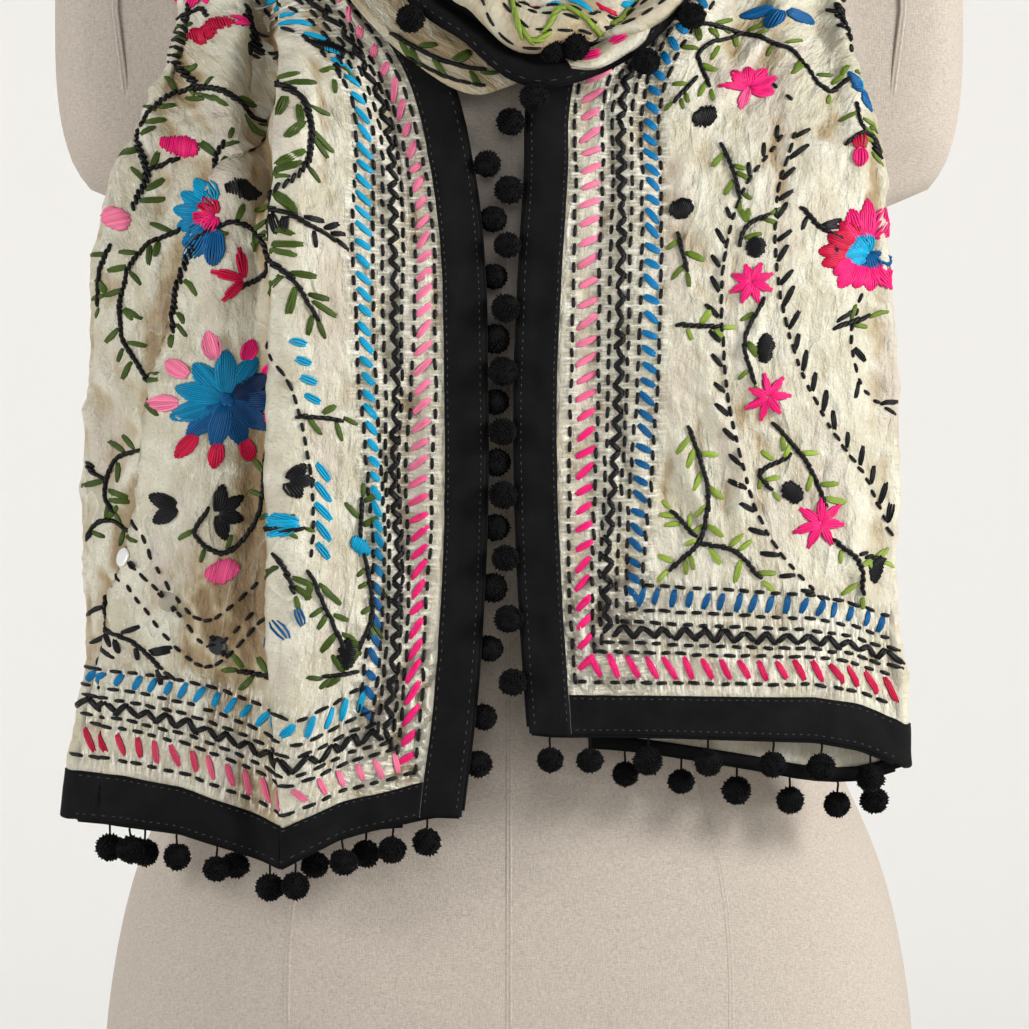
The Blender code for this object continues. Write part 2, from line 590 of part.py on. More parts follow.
def build_end(name, strand, hem, hem_behind, creases, balls, lean):
    """One hanging end with its tapes and trims, from its hem to the top of the shoulder."""
    side_balls, hem_balls, behind_balls = balls
    crest = strand["hanging"] + CREST_STATION
    along = end_along(strand, hem, hem_behind, SETBACK, crest)
    grid = cloth_grid(strand, along, SETBACK, creases=creases)
    normal = grid_normals(grid) * strand["hand"]
    add_wall("end_" + name, grid, normal, WALL, SILK)

    behind = slice(FRONT_COUNT + FOLD_COUNT, None)
    add_tape(f"tape_{name}_side", grid[:, :TAPE_COLUMNS], normal[:, :TAPE_COLUMNS])
    hem_rows = grid[:2, TAPE_COLUMNS - 1:].copy()
    inward = hem_rows[:, 1] - hem_rows[:, 0]
    hem_rows[:, 0] += inward / np.linalg.norm(inward, axis=-1, keepdims=True) * SEAM
    add_tape(f"tape_{name}_hem", hem_rows, normal[:2, TAPE_COLUMNS - 1:])

    showing = grid[:, 0, 2] < SIDE_TRIM_TOP
    showing[0] = False
    side = grid[showing, 0]
    away = frame_at(strand, along[showing, 0])[1]
    free = np.clip((LEAN_TOP - side[:, 2]) / LEAN_FADE, 0, 1)
    ways = away + np.stack([0 * free, lean * free, 0 * free], axis=-1)
    places = places_by_height(side, side_balls)
    add_trim(f"pompoms_{name}_side", side, away, ways, places, 0.0)
    add_hem_trim(f"pompoms_{name}_hem", grid[0, :FRONT_COUNT], 0.0, hem_balls)
    add_hem_trim(f"pompoms_{name}_behind", grid[0, behind][::-1], SETBACK, behind_balls)


def build_stretch(name, strand, along, setback, inset, balls):
    """A gathered stretch of the strand with the tape and pompoms on its edge.

    balls are distances along the edge from its middle.
    """
    grid = cloth_grid(strand, along[:, None], setback, inset)
    normal = grid_normals(grid) * strand["hand"]
    add_wall(name, grid, normal, WALL, SILK)
    add_tape("tape_" + name, grid[:, :TAPE_COLUMNS], normal[:, :TAPE_COLUMNS])
    if not balls:
        return
    run = run_length(grid[:, 0])
    run -= run[-1] / 2
    trimmed = (run > balls[0] - TRIM_SPARE) & (run < balls[-1] + TRIM_SPARE)
    edge = grid[trimmed, 0]
    away, out = frame_at(strand, along[trimmed])[1:3]
    ways = away + out * STRETCH_LEAN
    places = np.interp(balls, run[trimmed], np.arange(len(edge)))
    add_trim("pompoms_" + name, edge, away, ways, places, 0.0)


def build_nape(name, strand, balls):
    """The pass behind the neck, from the top of one shoulder to beside the neck on the other."""
    first = strand["along"][strand["hanging"] + CREST_STATION] + SEAM
    last = strand["along"][strand["hanging"] + TUCK_STATION] - JOINT_GAP
    along = np.linspace(first, last, NAPE_ROWS)
    build_stretch(name, strand, along, NAPE_SETBACK, 0.0, balls)


def build_loop(strand):
    """The loop in front, whose inner layer hangs lower on the left as a bare fold."""
    along = np.linspace(strand["along"][LOOP_FIRST], strand["along"][LOOP_LAST], LOOP_ROWS_ALONG)
    middle_x = frame_at(strand, along)[0][:, 0]
    bare = np.clip((LOOP_BARE_FROM - middle_x) / LOOP_BARE_FADE, 0, 1)
    bare = (3 * bare**2 - 2 * bare**3) * np.clip((along[-1] - along) / LOOP_BARE_END, 0, 1)
    build_stretch("neck_loop", strand, along, LOOP_SETBACK * (1 - bare), LOOP_BARE * bare, LOOP_BALLS)


def main():
    clear_scene()
    build_form()
    left = strand_of(LEFT_END_ROWS, LEFT_WAY_ROWS, 1)
    right = strand_of(RIGHT_END_ROWS, RIGHT_WAY_ROWS, -1)
    loop = strand_of((), LOOP_ROWS, -1)
    build_end("left", left, LEFT_HEM, LEFT_HEM_BEHIND, LEFT_CREASES,
              (LEFT_SIDE_BALLS, LEFT_HEM_BALLS, LEFT_BEHIND_BALLS), LEFT_LEAN)
    build_end("right", right, RIGHT_HEM, RIGHT_HEM_BEHIND, RIGHT_CREASES,
              (RIGHT_SIDE_BALLS, RIGHT_HEM_BALLS, RIGHT_BEHIND_BALLS), RIGHT_LEAN)
    build_nape("nape_under", left, ())
    build_nape("nape_over", right, NAPE_BALLS)
    build_loop(loop)


main()
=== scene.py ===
"""The looks of the stole on its dress form: silk with embroidery, tape, pompoms and linen.

Every table is in millimetres and MM turns points into metres. Left and right are the
viewer's, and the front faces -Y. u runs along the stole from its hem, and v across it from
the taped edge. Motifs are listed as X and height in the front view.
"""

import bpy
import numpy as np
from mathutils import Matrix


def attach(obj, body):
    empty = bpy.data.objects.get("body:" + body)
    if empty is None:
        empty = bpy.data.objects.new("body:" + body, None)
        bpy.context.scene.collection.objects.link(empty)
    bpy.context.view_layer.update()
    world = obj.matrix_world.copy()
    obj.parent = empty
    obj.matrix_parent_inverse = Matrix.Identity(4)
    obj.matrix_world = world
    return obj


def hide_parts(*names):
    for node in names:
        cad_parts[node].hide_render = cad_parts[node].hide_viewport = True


MM = 0.001
TINY = 1e-9

# The cloth's own sizes, as the construction model has them.
WALL = 1.2
TAPE_WIDTH = 16.8
SEAM = 0.3
BALL_RADIUS = 6.5
THREAD_LENGTH = 4.5
TRIM_WIDTH = 1.6
TRIM_GAP = 0.5
SETBACK = 24.0

# The dress form, a row for each height: half width, depth to the front, depth to the back.
FORM_ROWS = (
    (0, 170, 104, 116), (76, 181, 112, 128), (125, 177.5, 112, 124), (178, 165.5, 108, 110),
    (225, 145, 101, 95), (276, 122, 92, 84), (330, 130, 96, 86), (400, 150, 112, 96),
    (460, 158, 112, 102), (520, 163, 98, 102), (580, 166, 78, 92), (618, 164, 62, 80),
    (636, 146, 54, 72), (652, 110, 50, 66), (668, 76, 48, 60), (684, 60, 48, 56),
    (702, 56, 50, 54), (748, 54, 50, 52),
)
FORM_SQUARENESS = 2.35
BUST_AT = (33.0, 412.0)
BUST_SPREAD = (17.0, 52.0)
BUST_HEIGHT = 17.0
ARM_CENTRE = (160.0, 4.0, 556.0)
ARM_RADII = (43.0, 50.0, 84.0)
ARM_SQUARENESS = 3.0
FORM_BLEND = 10.0
FORM_BROW = 748.0
FORM_TOP = 762.0
FORM_REACH = 240.0

# The hanging ends: z, inner_x, outer_x, y, gap, ripple, curl, clear.
LEFT_END_ROWS = (
    (170, -24, -197, -116, 12, 0.0, 34, 3.5),
    (206, -21.5, -193.5, -118, 11, 0.0, 34, 3.5),
    (262, -15, -183.5, -121, 8.5, 0.0, 36, 3.5),
    (333, -11, -185, -123, 7, 0.0, 38, 3.5),
    (395, -11, -183, -124, 7, 0.4, 40, 3.5),
    (438, -12, -182, -121, 7, 0.8, 40, 3.5),
    (476, -16, -175, -110, 7.5, 1.4, 38, 3.5),
    (510, -25, -163, -95, 8, 2.2, 30, 3.5),
    (555, -52, -145, -76, 8, 3.2, 18, 3.5),
)
RIGHT_END_ROWS = (
    (200, 12, 175, -117, 13, 0.0, 34, 3.5),
    (240, 10, 173, -119, 11, 0.0, 34, 3.5),
    (275, 7.5, 170, -121, 8.5, 0.0, 36, 3.5),
    (333, 4.5, 168.5, -123, 7, 0.0, 38, 3.5),
    (395, 4, 167, -124, 7, 0.3, 40, 3.5),
    (438, 6, 163.5, -121, 7, 0.6, 40, 3.5),
    (476, 8.5, 163, -110, 7.5, 1.2, 38, 3.5),
    (510, 10.5, 161, -95, 8, 2.0, 30, 3.5),
    (555, 34, 151, -76, 8, 3.2, 18, 3.5),
)

# The way over the shoulder and behind the neck:
# x, y, z, out_x, out_y, out_z, width, gap, ripple, curl, clear.
LEFT_WAY_ROWS = (
    (-112, -52, 606, -0.10, -0.85, 0.50, 84, 8, 3.5, 8, 4.8),
    (-126, -26, 634, -0.20, -0.50, 0.85, 78, 8, 3.5, 0, 5.2),
    (-132, 4, 641, -0.30, 0.05, 0.95, 76, 8, 3.5, 0, 6.3),
    (-123, 34, 636, -0.30, 0.50, 0.80, 74, 8, 3.5, 0, 6.3),
    (-95, 58, 641, -0.25, 0.78, 0.60, 64, 8, 3.5, 0, 4.5),
    (-50, 64, 654, -0.12, 0.92, 0.38, 66, 8, 3.5, 0, 4),
    (-6, 60, 666, 0.05, 0.95, 0.28, 64, 8, 3.5, 0, 4),
    (34, 50, 676, 0.45, 0.85, 0.30, 60, 8, 3.5, 0, 4),
    (56, 28, 680, 0.85, 0.40, 0.40, 54, 8, 3.5, 0, 4.5),
    (66, 0, 674, 0.75, 0.00, 0.65, 50, 8, 3.5, 0, 4.5),
    (66, -24, 664, 0.60, -0.45, 0.65, 52, 8, 3.5, 0, 11),
)
RIGHT_WAY_ROWS = (
    (115, -52, 606, 0.10, -0.85, 0.50, 82, 8, 3.5, 8, 4.5),
    (132, -26, 634, 0.20, -0.50, 0.85, 74, 8, 3.5, 0, 4.5),
    (139, 4, 640, 0.30, 0.05, 0.95, 71, 8, 3.5, 0, 6),
    (128, 34, 638, 0.30, 0.50, 0.80, 72, 8, 3.5, 0, 11),
    (92, 56, 648, 0.25, 0.78, 0.60, 72, 8, 3.5, 0, 21),
    (48, 60, 660, 0.12, 0.92, 0.38, 70, 8, 3.5, 0, 22),
    (6, 58, 670, -0.05, 0.95, 0.28, 68, 8, 3.5, 0, 25),
    (-34, 50, 678, -0.45, 0.85, 0.30, 62, 8, 3.5, 0, 31),
    (-58, 26, 680, -0.85, 0.40, 0.40, 56, 8, 3.5, 0, 33),
    (-70, 0, 672, -0.70, 0.00, 0.70, 52, 8, 3.5, 0, 27),
    (-70, -24, 662, -0.60, -0.45, 0.65, 54, 8, 3.5, 0, 21),
)
# The loop starts as the left way ends, and ends as the right way does.
LOOP_ROWS = (
    *LEFT_WAY_ROWS[-3:],
    (66, -46, 644, 0.40, -0.75, 0.50, 54, 8, 3.5, 0, 20),
    (64, -72, 612, 0.25, -0.95, 0.25, 58, 8, 3.5, 0, 20.5),
    (54, -90, 581, 0.15, -1.00, 0.14, 60, 8.5, 3.5, 0, 20.5),
    (34, -100, 555, 0.06, -1.00, 0.10, 60, 9, 3.5, 0, 18.6),
    (8, -108, 546, 0.00, -1.00, 0.06, 59, 9, 3.5, 0, 17),
    (-15, -104, 549, -0.06, -1.00, 0.10, 61, 9, 3.5, 0, 18.6),
    (-38, -92, 569, -0.15, -1.00, 0.14, 63, 8.5, 3.5, 0, 20.5),
    (-55, -73, 603, -0.25, -0.90, 0.30, 62, 8, 3.5, 0, 20.5),
    (-67, -46, 642, -0.40, -0.70, 0.55, 56, 8, 3.5, 0, 20),
    *RIGHT_WAY_ROWS[:-4:-1],
)
CREST_STATION = 2
TUCK_STATION = 9
LOOP_FIRST, LOOP_LAST = 1, 13
JOINT_GAP = 0.6

# Hems, as height of the edge against distance from the inner edge as a share of the width.
LEFT_HEM = ((0.0, 219), (0.06, 217.5), (0.18, 208), (0.30, 199.5), (0.433, 185), (0.56, 190.5),
            (0.70, 195), (0.85, 195.5), (1.0, 193.5))
RIGHT_HEM = ((0.0, 248), (0.06, 246), (0.34, 242), (0.58, 238), (0.75, 235), (0.87, 230), (1.0, 220))
LEFT_HEM_BEHIND = ((0.0, 214), (0.3, 201), (0.433, 191.5), (0.6, 193.5), (0.85, 193.5), (1.0, 193.5))
RIGHT_HEM_BEHIND = ((0.0, 241), (0.2, 237.5), (0.36, 232.5), (0.5, 227.5), (0.62, 223), (0.75, 217.5),
                    (0.87, 216.5), (1.0, 220))

# Soft ridges down the ends: x0, z0, h0, x1, z1, h1, flank_left, flank_right.
LEFT_CREASES = (
    (-97, 560, 11, -96, 180, 6, 7, 24),
    (-110, 560, -4, -108, 400, -2, 6, 6),
    (-103, 505, 4, -178, 260, 2.5, 12, 34),
    (-60, 560, 4, -52, 420, 0, 8, 10),
)
RIGHT_CREASES = (
    (134, 560, 4, 138, 430, 0, 7, 9),
    (156, 560, 4, 154, 450, 0, 6, 6),
    (92, 560, 3, 96, 470, 0, 8, 8),
)
CREASE_FADE = 20.0
CREASE_TOP_FADE = 40.0
RIPPLES = 3.0
RIPPLE_START = 0.6
RIPPLE_FADE = 12.0

REST_STEPS = np.arange(-110.0, 70.0, 1.5)
REST_BLEND = 6.0
FREE_FROM = 80.0
FREE_SPAN = 100.0

# Pompoms: heights on the sides, and places along the hems from the inner edge.
LEFT_SIDE_BALLS = (485, 461, 436, 409, 382, 356, 328, 302, 276, 247, 227)
RIGHT_SIDE_BALLS = (503, 473, 449, 422, 395, 369, 342, 315, 289, 262)
LEFT_HEM_BALLS = (14, 29, 50, 71, 85, 110, 128, 150)
LEFT_BEHIND_BALLS = (40, 62, 97, 140, 158)
RIGHT_HEM_BALLS = (8, 25, 50, 76, 104, 126, 150)
RIGHT_BEHIND_BALLS = (40, 64, 88, 112, 134, 152)
NAPE_BALLS = (-81, -54, -27, 0, 27, 54, 81)
LOOP_BALLS = (-122, -98, -74, -47, 0.5, 59, 88, 118)
TRIM_SPARE = 14.0
SIDE_TRIM_TOP = 528.0
LEFT_LEAN = 1.4
RIGHT_LEAN = -0.8
STRETCH_LEAN = 0.65
LEAN_TOP = 480.0
LEAN_FADE = 40.0

NAPE_SETBACK = 12.0
LOOP_SETBACK = 6.0
LOOP_BARE = 20.0
LOOP_BARE_FROM = 12.0
LOOP_BARE_FADE = 28.0
LOOP_BARE_END = 60.0

# Fineness: columns on the front layer, round the fold and on the back layer.
CLOTH_THICK = 0.8
END_COLUMNS = (100, 5, 16)
END_ROWS_FINE = 240
STRETCH_COLUMNS = (44, 6, 18)
COARSE_COLUMNS = (46, 4, 10)
COARSE_ROWS = {"end": 90, "nape": 40, "loop": 60}

# Rows of the border, as distances from the tape's inner edge: dashes, slanted pink, dashes
# twice, zigzag, dashes twice, slanted blue, dashes.
ROWS = (5.4, 11.6, 17.6, 21.5, 26.0, 30.1, 35.3, 40.9, 46.0)
DASHES, PINK, ZIGZAG, BLUES = (0, 2, 3, 5, 6, 8), 1, 4, 7
# Pitches of the dashes, and of the zigzag up a side and across a hem, with how far it swings.
DASH_PITCH, DASH_REACH = 6.8, (2.0, 2.7)
ZIGZAG_SIDE, ZIGZAG_HEM = (8.0, 1.9), (8.8, 2.5)
# Half the way between a zigzag's two threads.
ZIGZAG_PAIR = 0.55
# The slanted stitches: which row, how far they rise, their pitch, and which way they lean.
SLANTS = ((PINK, 2.9, 7.9, 1), (BLUES, 1.8, 6.9, -1))
# Up the sides the rows are drawn together: height, then the same nine distances.
SIDE_ROWS = {
    "left": (
        (190, 5.0, 9.6, 13.6, 17.0, 20.5, 24.5, 28.0, 31.0, 35.5),
        (250, 4.6, 9.0, 13.0, 16.0, 18.6, 22.4, 25.5, 28.4, 32.0),
        (290, 6.4, 10.0, 13.8, 16.6, 18.7, 22.2, 24.9, 27.4, 30.2),
        (320, 5.6, 10.3, 14.8, 17.8, 19.6, 23.0, 25.2, 27.6, 30.0),
        (352, 5.7, 11.4, 16.8, 20.0, 22.1, 25.3, 27.4, 30.4, 33.5),
        (388, 3.9, 9.3, 14.3, 18.5, 20.7, 25.3, 29.2, 32.8, 36.7),
        (420, 3.6, 8.6, 12.4, 17.8, 21.0, 26.0, 30.3, 34.0, 38.0),
        (456, 2.5, 6.8, 10.8, 15.7, 20.0, 24.6, 28.7, 33.3, 38.4),
        (503, 3.2, 7.1, 10.2, 12.8, 15.6, 19.4, 22.7, 26.6, 30.6),
        (560, 4.4, 9.4, 14.2, 17.4, 21.0, 24.6, 28.6, 33.0, 37.6),
    ),
    "right": (
        (235, 4.4, 9.6, 14.0, 17.0, 20.0, 24.0, 28.0, 31.4, 35.0),
        (300, 3.2, 9.3, 12.9, 16.2, 19.2, 23.4, 27.6, 30.8, 34.4),
        (350, 5.0, 11.8, 16.3, 20.4, 24.2, 27.8, 31.4, 36.0, 40.2),
        (384, 5.8, 12.5, 17.8, 22.0, 26.4, 30.0, 34.2, 38.7, 42.8),
        (442, 5.0, 11.2, 16.2, 20.7, 25.3, 29.0, 34.0, 38.4, 42.4),
        (478, 3.4, 9.9, 15.0, 19.4, 23.3, 27.8, 32.0, 36.2, 40.0),
        (560, 3.4, 9.4, 14.2, 18.6, 22.6, 27.0, 31.0, 35.2, 39.2),
    ),
}
# Heights at which the side rows' pink and blue change from one tone to the other.
TONE_TURNS = {"left": (345, 318), "right": (385, 395)}
# The puckers: how deep, how far the groove, the short creases and the pull reach from a row, and
# the creases' size along and across.
PUCKER_DEPTH = 0.5
PUCKER_SPREADS = (1.7, 5.0, 3.4)
PUCKER_CELL = (2.6, 14.0)
# The crumple: heights of its broad, its small and its finest creases, their sizes across with
# how drawn out they are along (for the finest: sizes along and across), and their mean.
CRUMPLE = (2.9, 1.3, 0.35)
CRUMPLE_BROAD, CRUMPLE_SMALL, CRUMPLE_FINE = (17.0, 3.0), (7.0, 1.8), (3.2, 2.8)
CRUMPLE_MEAN = 0.35
CREASE_SEEDS = {"left": 11, "right": 23, "nape_under": 31, "nape_over": 41, "loop": 53}
# Seeds of the stitches, of those on the loop's extra pieces, and of the pompoms.
NEEDLE_SEED, LOOP_NEEDLE_SEED, TRIM_SEED, LOOSE_SEED = 300, 400, 60, 77
# How much of its relief the silk keeps under the tape, and how far it takes to get all of it.
CALM_LEAST, CALM_BEFORE, CALM_FADE = 0.3, 2.0, 8.0

# The form's rings and how many points each has: worked out coarsely, then refined.
FORM_COARSE = (76, 61)
FORM_RINGS = 132
FORM_AROUND = 172
# Steps outwards at which the form's edge is looked for, and the lifts of the rings over its neck.
FORM_STEPS = np.arange(20.0, FORM_REACH, 2.0)
DOME_LIFTS = np.radians(np.linspace(8, 84, 10))
NAPE_ROWS_FINE = 110
LOOP_ROWS_FINE = 190

# Folds that lie over their neighbour on the left end: the fold's line as z, x and strength,
# then how far it reaches, how high it lifts and how far it is thrown over.
OVERLAPS = {
    "left": (
        (((560, -97, 0.7), (540, -96, 1.0), (500, -97, 1.0), (440, -99, 1.0), (360, -100, 0.9),
          (280, -101, 0.8), (200, -97, 0.6)), 8.0, 7.0, 6.5),
        (((525, -100, 0.0), (500, -106, 0.7), (479, -124, 1.0), (456, -134, 1.0), (398, -150, 1.0),
          (352, -156, 1.0), (333, -159, 0.9), (301, -169, 0.8), (270, -176, 0.5)), 6.0, 6.0, 7.0),
    ),
}
# Valleys and ridges beside them: x0, z0, x1, z1, depth (above zero for a ridge), spread.
TROUGHS = {
    "left": (
        (-108, 560, -107, 478, -8.0, 5.5),
        (-128, 556, -118, 470, 3.5, 7.0),
        (-146, 548, -150, 470, -3.5, 8.0),
        (-84, 556, -80, 470, -3.0, 6.0),
        (-70, 556, -62, 500, 2.5, 5.0),
        (-112, 476, -146, 404, -2.5, 8.0),
        (-108, 400, -110, 300, -2.0, 7.0),
        (-120, 262, -112, 206, -2.0, 7.0),
    ),
    "right": (
        (84, 556, 92, 520, 2.5, 7.0),
        (112, 556, 118, 470, -2.5, 7.0),
        (146, 556, 150, 480, 3.0, 6.0),
        (60, 530, 66, 440, -1.5, 8.0),
        (158, 470, 160, 330, -2.0, 7.0),
        (128, 300, 140, 250, 1.8, 8.0),
    ),
}

# Patches of painted golden shade in the silk's hollows: x, z, half width, half height, how deep.
SHADES = {
    "left": (
        (-122, 292, 20, 36, 0.62), (-108, 330, 7, 34, 0.4), (-105, 520, 6, 44, 0.4),
        (-150, 520, 12, 30, 0.15), (-147, 425, 9, 26, 0.3), (-112, 250, 40, 12, 0.2),
        (-126, 410, 14, 12, 0.12), (-84, 540, 6, 26, 0.2), (-168, 300, 6, 40, 0.16),
        (-100, 210, 40, 12, 0.16),
    ),
    "right": ((92, 540, 26, 16, 0.16), (160, 470, 8, 40, 0.14), (100, 290, 40, 14, 0.06)),
    "loop": ((-20, 552, 40, 30, 0.18), (45, 560, 30, 30, 0.16)),
}
# How much painted shade the silk gets in its hollows: everywhere, by how deep a place lies, by how
# uneven it is, as a painted shadow under a fold's edge, and on the back layer, of the loop and of the others.
HOLLOW, HOLLOW_DEEP, HOLLOW_MOST = 0.34, 0.22, 0.3
HOLLOW_UNEVEN, HOLLOW_EDGE = 0.10, 0.2
HOLLOW_BEHIND = {"loop": 0.26}
HOLLOW_PLAIN = 0.1
HOLLOW_ROUNDS = 40

# The form's princess seams: height, and how far they run from the middle.
SEAM_LINES = ((4, 94), (76, 96), (178, 92), (225, 80), (276, 70), (340, 76), (412, 85), (520, 92),
              (600, 95), (640, 92))
SIDE_SEAM_TOP = 470.0
# Where seams start over the base and end below the neck's top, their points, and the radius and
# the rounds from which a princess seam's turn is found.
SEAM_FOOT, SEAM_SHORT, SEAM_POINTS = 4.0, 6.0, 80
SEAM_GUESS, SEAM_ROUNDS = 190.0, 12
# The armhole's plane: where it crosses the arm stub's middle, how much it leans inwards as it
# goes down, its points, and the steps at which its edge is looked for.
ARMHOLE_X = 174.0
ARMHOLE_LEAN = 0.13
ARMHOLE_POINTS = 73
ARMHOLE_STEPS = np.arange(10.0, 130.0, 2.0)
WELT = ((-1.8, -0.4), (-1.2, 0.16), (-0.5, 0.28), (0.0, -0.12), (0.5, 0.28), (1.2, 0.16), (1.8, -0.4))

TAPE_LIFT = 0.12
TAPE_THICK = 0.6
TAPE_BACK = 11.0
HEM_BACK = 0.4
# Stations across the tape: in front, of which the last is on the edge, round it, and behind.
TAPE_STATIONS = (9, 3, 4)
TOPSTITCH_PITCH = 3.3
TOPSTITCH_ROWS = (1.4, 15.3)
TOPSTITCH = (0.05, 0.05, 0.054)
TAPE_BLACK = (0.0028, 0.0028, 0.003)
WOOL_BLACK = (0.003, 0.003, 0.0036)
# A pompom of radius 1: its rings and sides, how rough it is and where its poles are, and its
# tufts: how many, where they root, how wide, how far out their tips are and how scattered.
BALL_GRID = (9, 14)
BALL_ROUGH, BALL_POLE = (0.80, 0.95), 0.88
BALL_TUFTS = 210
TUFT_ROOT, TUFT_WIDE, TUFT_TIP, TUFT_SCATTER = 0.84, (0.11, 0.17), (0.95, 1.03), 0.045
BALL_SHAPES = 5
BALL_SIZES, BALL_FLATS = (0.94, 1.05), (0.92, 1.0)
# The corners of a pompom's thread, and any way that no pompom points along, to start them from.
THREAD_SPOKES = np.radians(np.arange(0, 360, 72))
THREAD_START = (0.3, 1.0, 0.2)
THREAD_WANDER = 0.8
THREAD_INTO_BALL = 0.7
TRIM_THICK = 1.0
ROOT_DEPTH = 0.35
THREAD_RADIUS = 0.5

# Along a stitch: where, how wide and how high, as shares.
ARCH = np.array([(0.0, 0.0, -0.9), (0.05, 0.74, 0.25), (0.32, 1.0, 0.8), (0.68, 1.0, 0.8),
                 (0.95, 0.74, 0.25), (1.0, 0.0, -0.9)])
# The sine of the angle between u and v in the view: the least that is divided by, and where
# their true crossing starts to count, with how far above that it counts in full.
SKEW_LEAST, SKEW_FROM, SKEW_FADE = 0.6, 0.75, 0.2
# Round a stitch: sideways, upwards, and how light as painted shade, darker on its sides than on its top.
THREAD_RING = np.array([(-1.0, -0.6, 0.35), (-0.78, 0.45, 0.85), (0.0, 1.0, 1.12), (0.78, 0.45, 0.85),
                        (1.0, -0.6, 0.35)])

LINEN = (0.50, 0.44, 0.38)
FLOOR = (0.80, 0.79, 0.77)
SKY = (1.0, 1.0, 1.0)
SKY_STRENGTH = 0.24
# How bright the sky looks straight from the camera.
SKY_SEEN = 0.8
AIM = (0.0, 0.0, 0.40)
LIGHTS = (
    # name, place, power, size, tint
    ("right", (2.5, -1.25, 1.25), 88.0, 0.9, (1.0, 0.985, 0.96)),
    ("left", (-2.5, -1.2, 0.9), 38.0, 0.9, (1.0, 0.985, 0.97)),
    ("front", (0.3, -3.6, 1.3), 14.0, 1.4, (1.0, 1.0, 1.0)),
    ("back", (-0.6, 2.0, 2.0), 34.0, 1.4, (1.0, 1.0, 1.0)),
)
CAMERA_PLACE = (0.0024, -3.125, 0.3335)
CAMERA_LENS, CAMERA_SENSOR = 244.0, 36.0
# The sweep, in metres: how far it reaches, where its bend starts, the bend's radius, its height.
SWEEP_REACH, SWEEP_BEND, SWEEP_RADIUS, SWEEP_TOP = 6.0, 1.2, 0.9, 5.0

# Silk tones: gold and deep are painted shade, white is painted highlight, grey is grain and painted shade.
SILK_GOLDEN_SHADE = (0.36, 0.265, 0.135, 1.0)
SILK_ROSE = (0.47, 0.385, 0.33, 1.0)
SILK_CREAM = (0.52, 0.48, 0.355, 1.0)
SILK_PALE = (0.66, 0.64, 0.525, 1.0)
SILK_WHITE_HIGHLIGHT = (0.82, 0.81, 0.73, 1.0)
SILK_GREY_AND_SHADE = (0.33, 0.32, 0.26, 1.0)
SILK_DEEP_SHADE = (0.19, 0.115, 0.045, 1.0)

# The silk's grain, each as its scale across, along and between the layers, how fine, how bent:
# crepe, slubs (under painted highlights), clouds, creases (for painted highlight and shadow lines),
# roughness, ragged edges for the painted shade in hollows, and a rosy tinge.
SILK_GRAIN = (
    ((1300.0, 1000.0, 1.0), 2.0), ((820.0, 190.0, 1.0), 3.0), ((70.0, 46.0, 1.0), 5.0),
    ((46.0, 13.0, 1.0), 2.0, 0.15), ((250.0, 130.0, 1.0), 5.0), ((150.0, 26.0, 1.0), 5.0),
    ((52.0, 17.0, 1.0), 4.0),
)

# Thread tones.
CRIMSON = (0.50, 0.003, 0.045)
HOT_PINK = (0.78, 0.012, 0.17)
PALE_PINK = (0.82, 0.20, 0.34)
CYAN = (0.0, 0.33, 0.57)
BLUE = (0.0, 0.09, 0.26)
NAVY = (0.001, 0.014, 0.06)
TEAL = (0.0, 0.20, 0.38)
# Painted reflections of the mirrors, in turn: white, beige and dark.
MIRROR_REFLECTIONS = ((0.92, 0.92, 0.90), (0.36, 0.33, 0.26), (0.035, 0.038, 0.042))
SIDE_BLUE = (0.0, 0.17, 0.41)
DEEP_BLUE = (0.0, 0.085, 0.24)
ROSE = (0.74, 0.085, 0.24)
OLIVE = (0.047, 0.082, 0.009)
LIME = (0.20, 0.29, 0.035)
LEAF = (0.095, 0.155, 0.012)
BLACK = (0.0035, 0.0035, 0.0045)
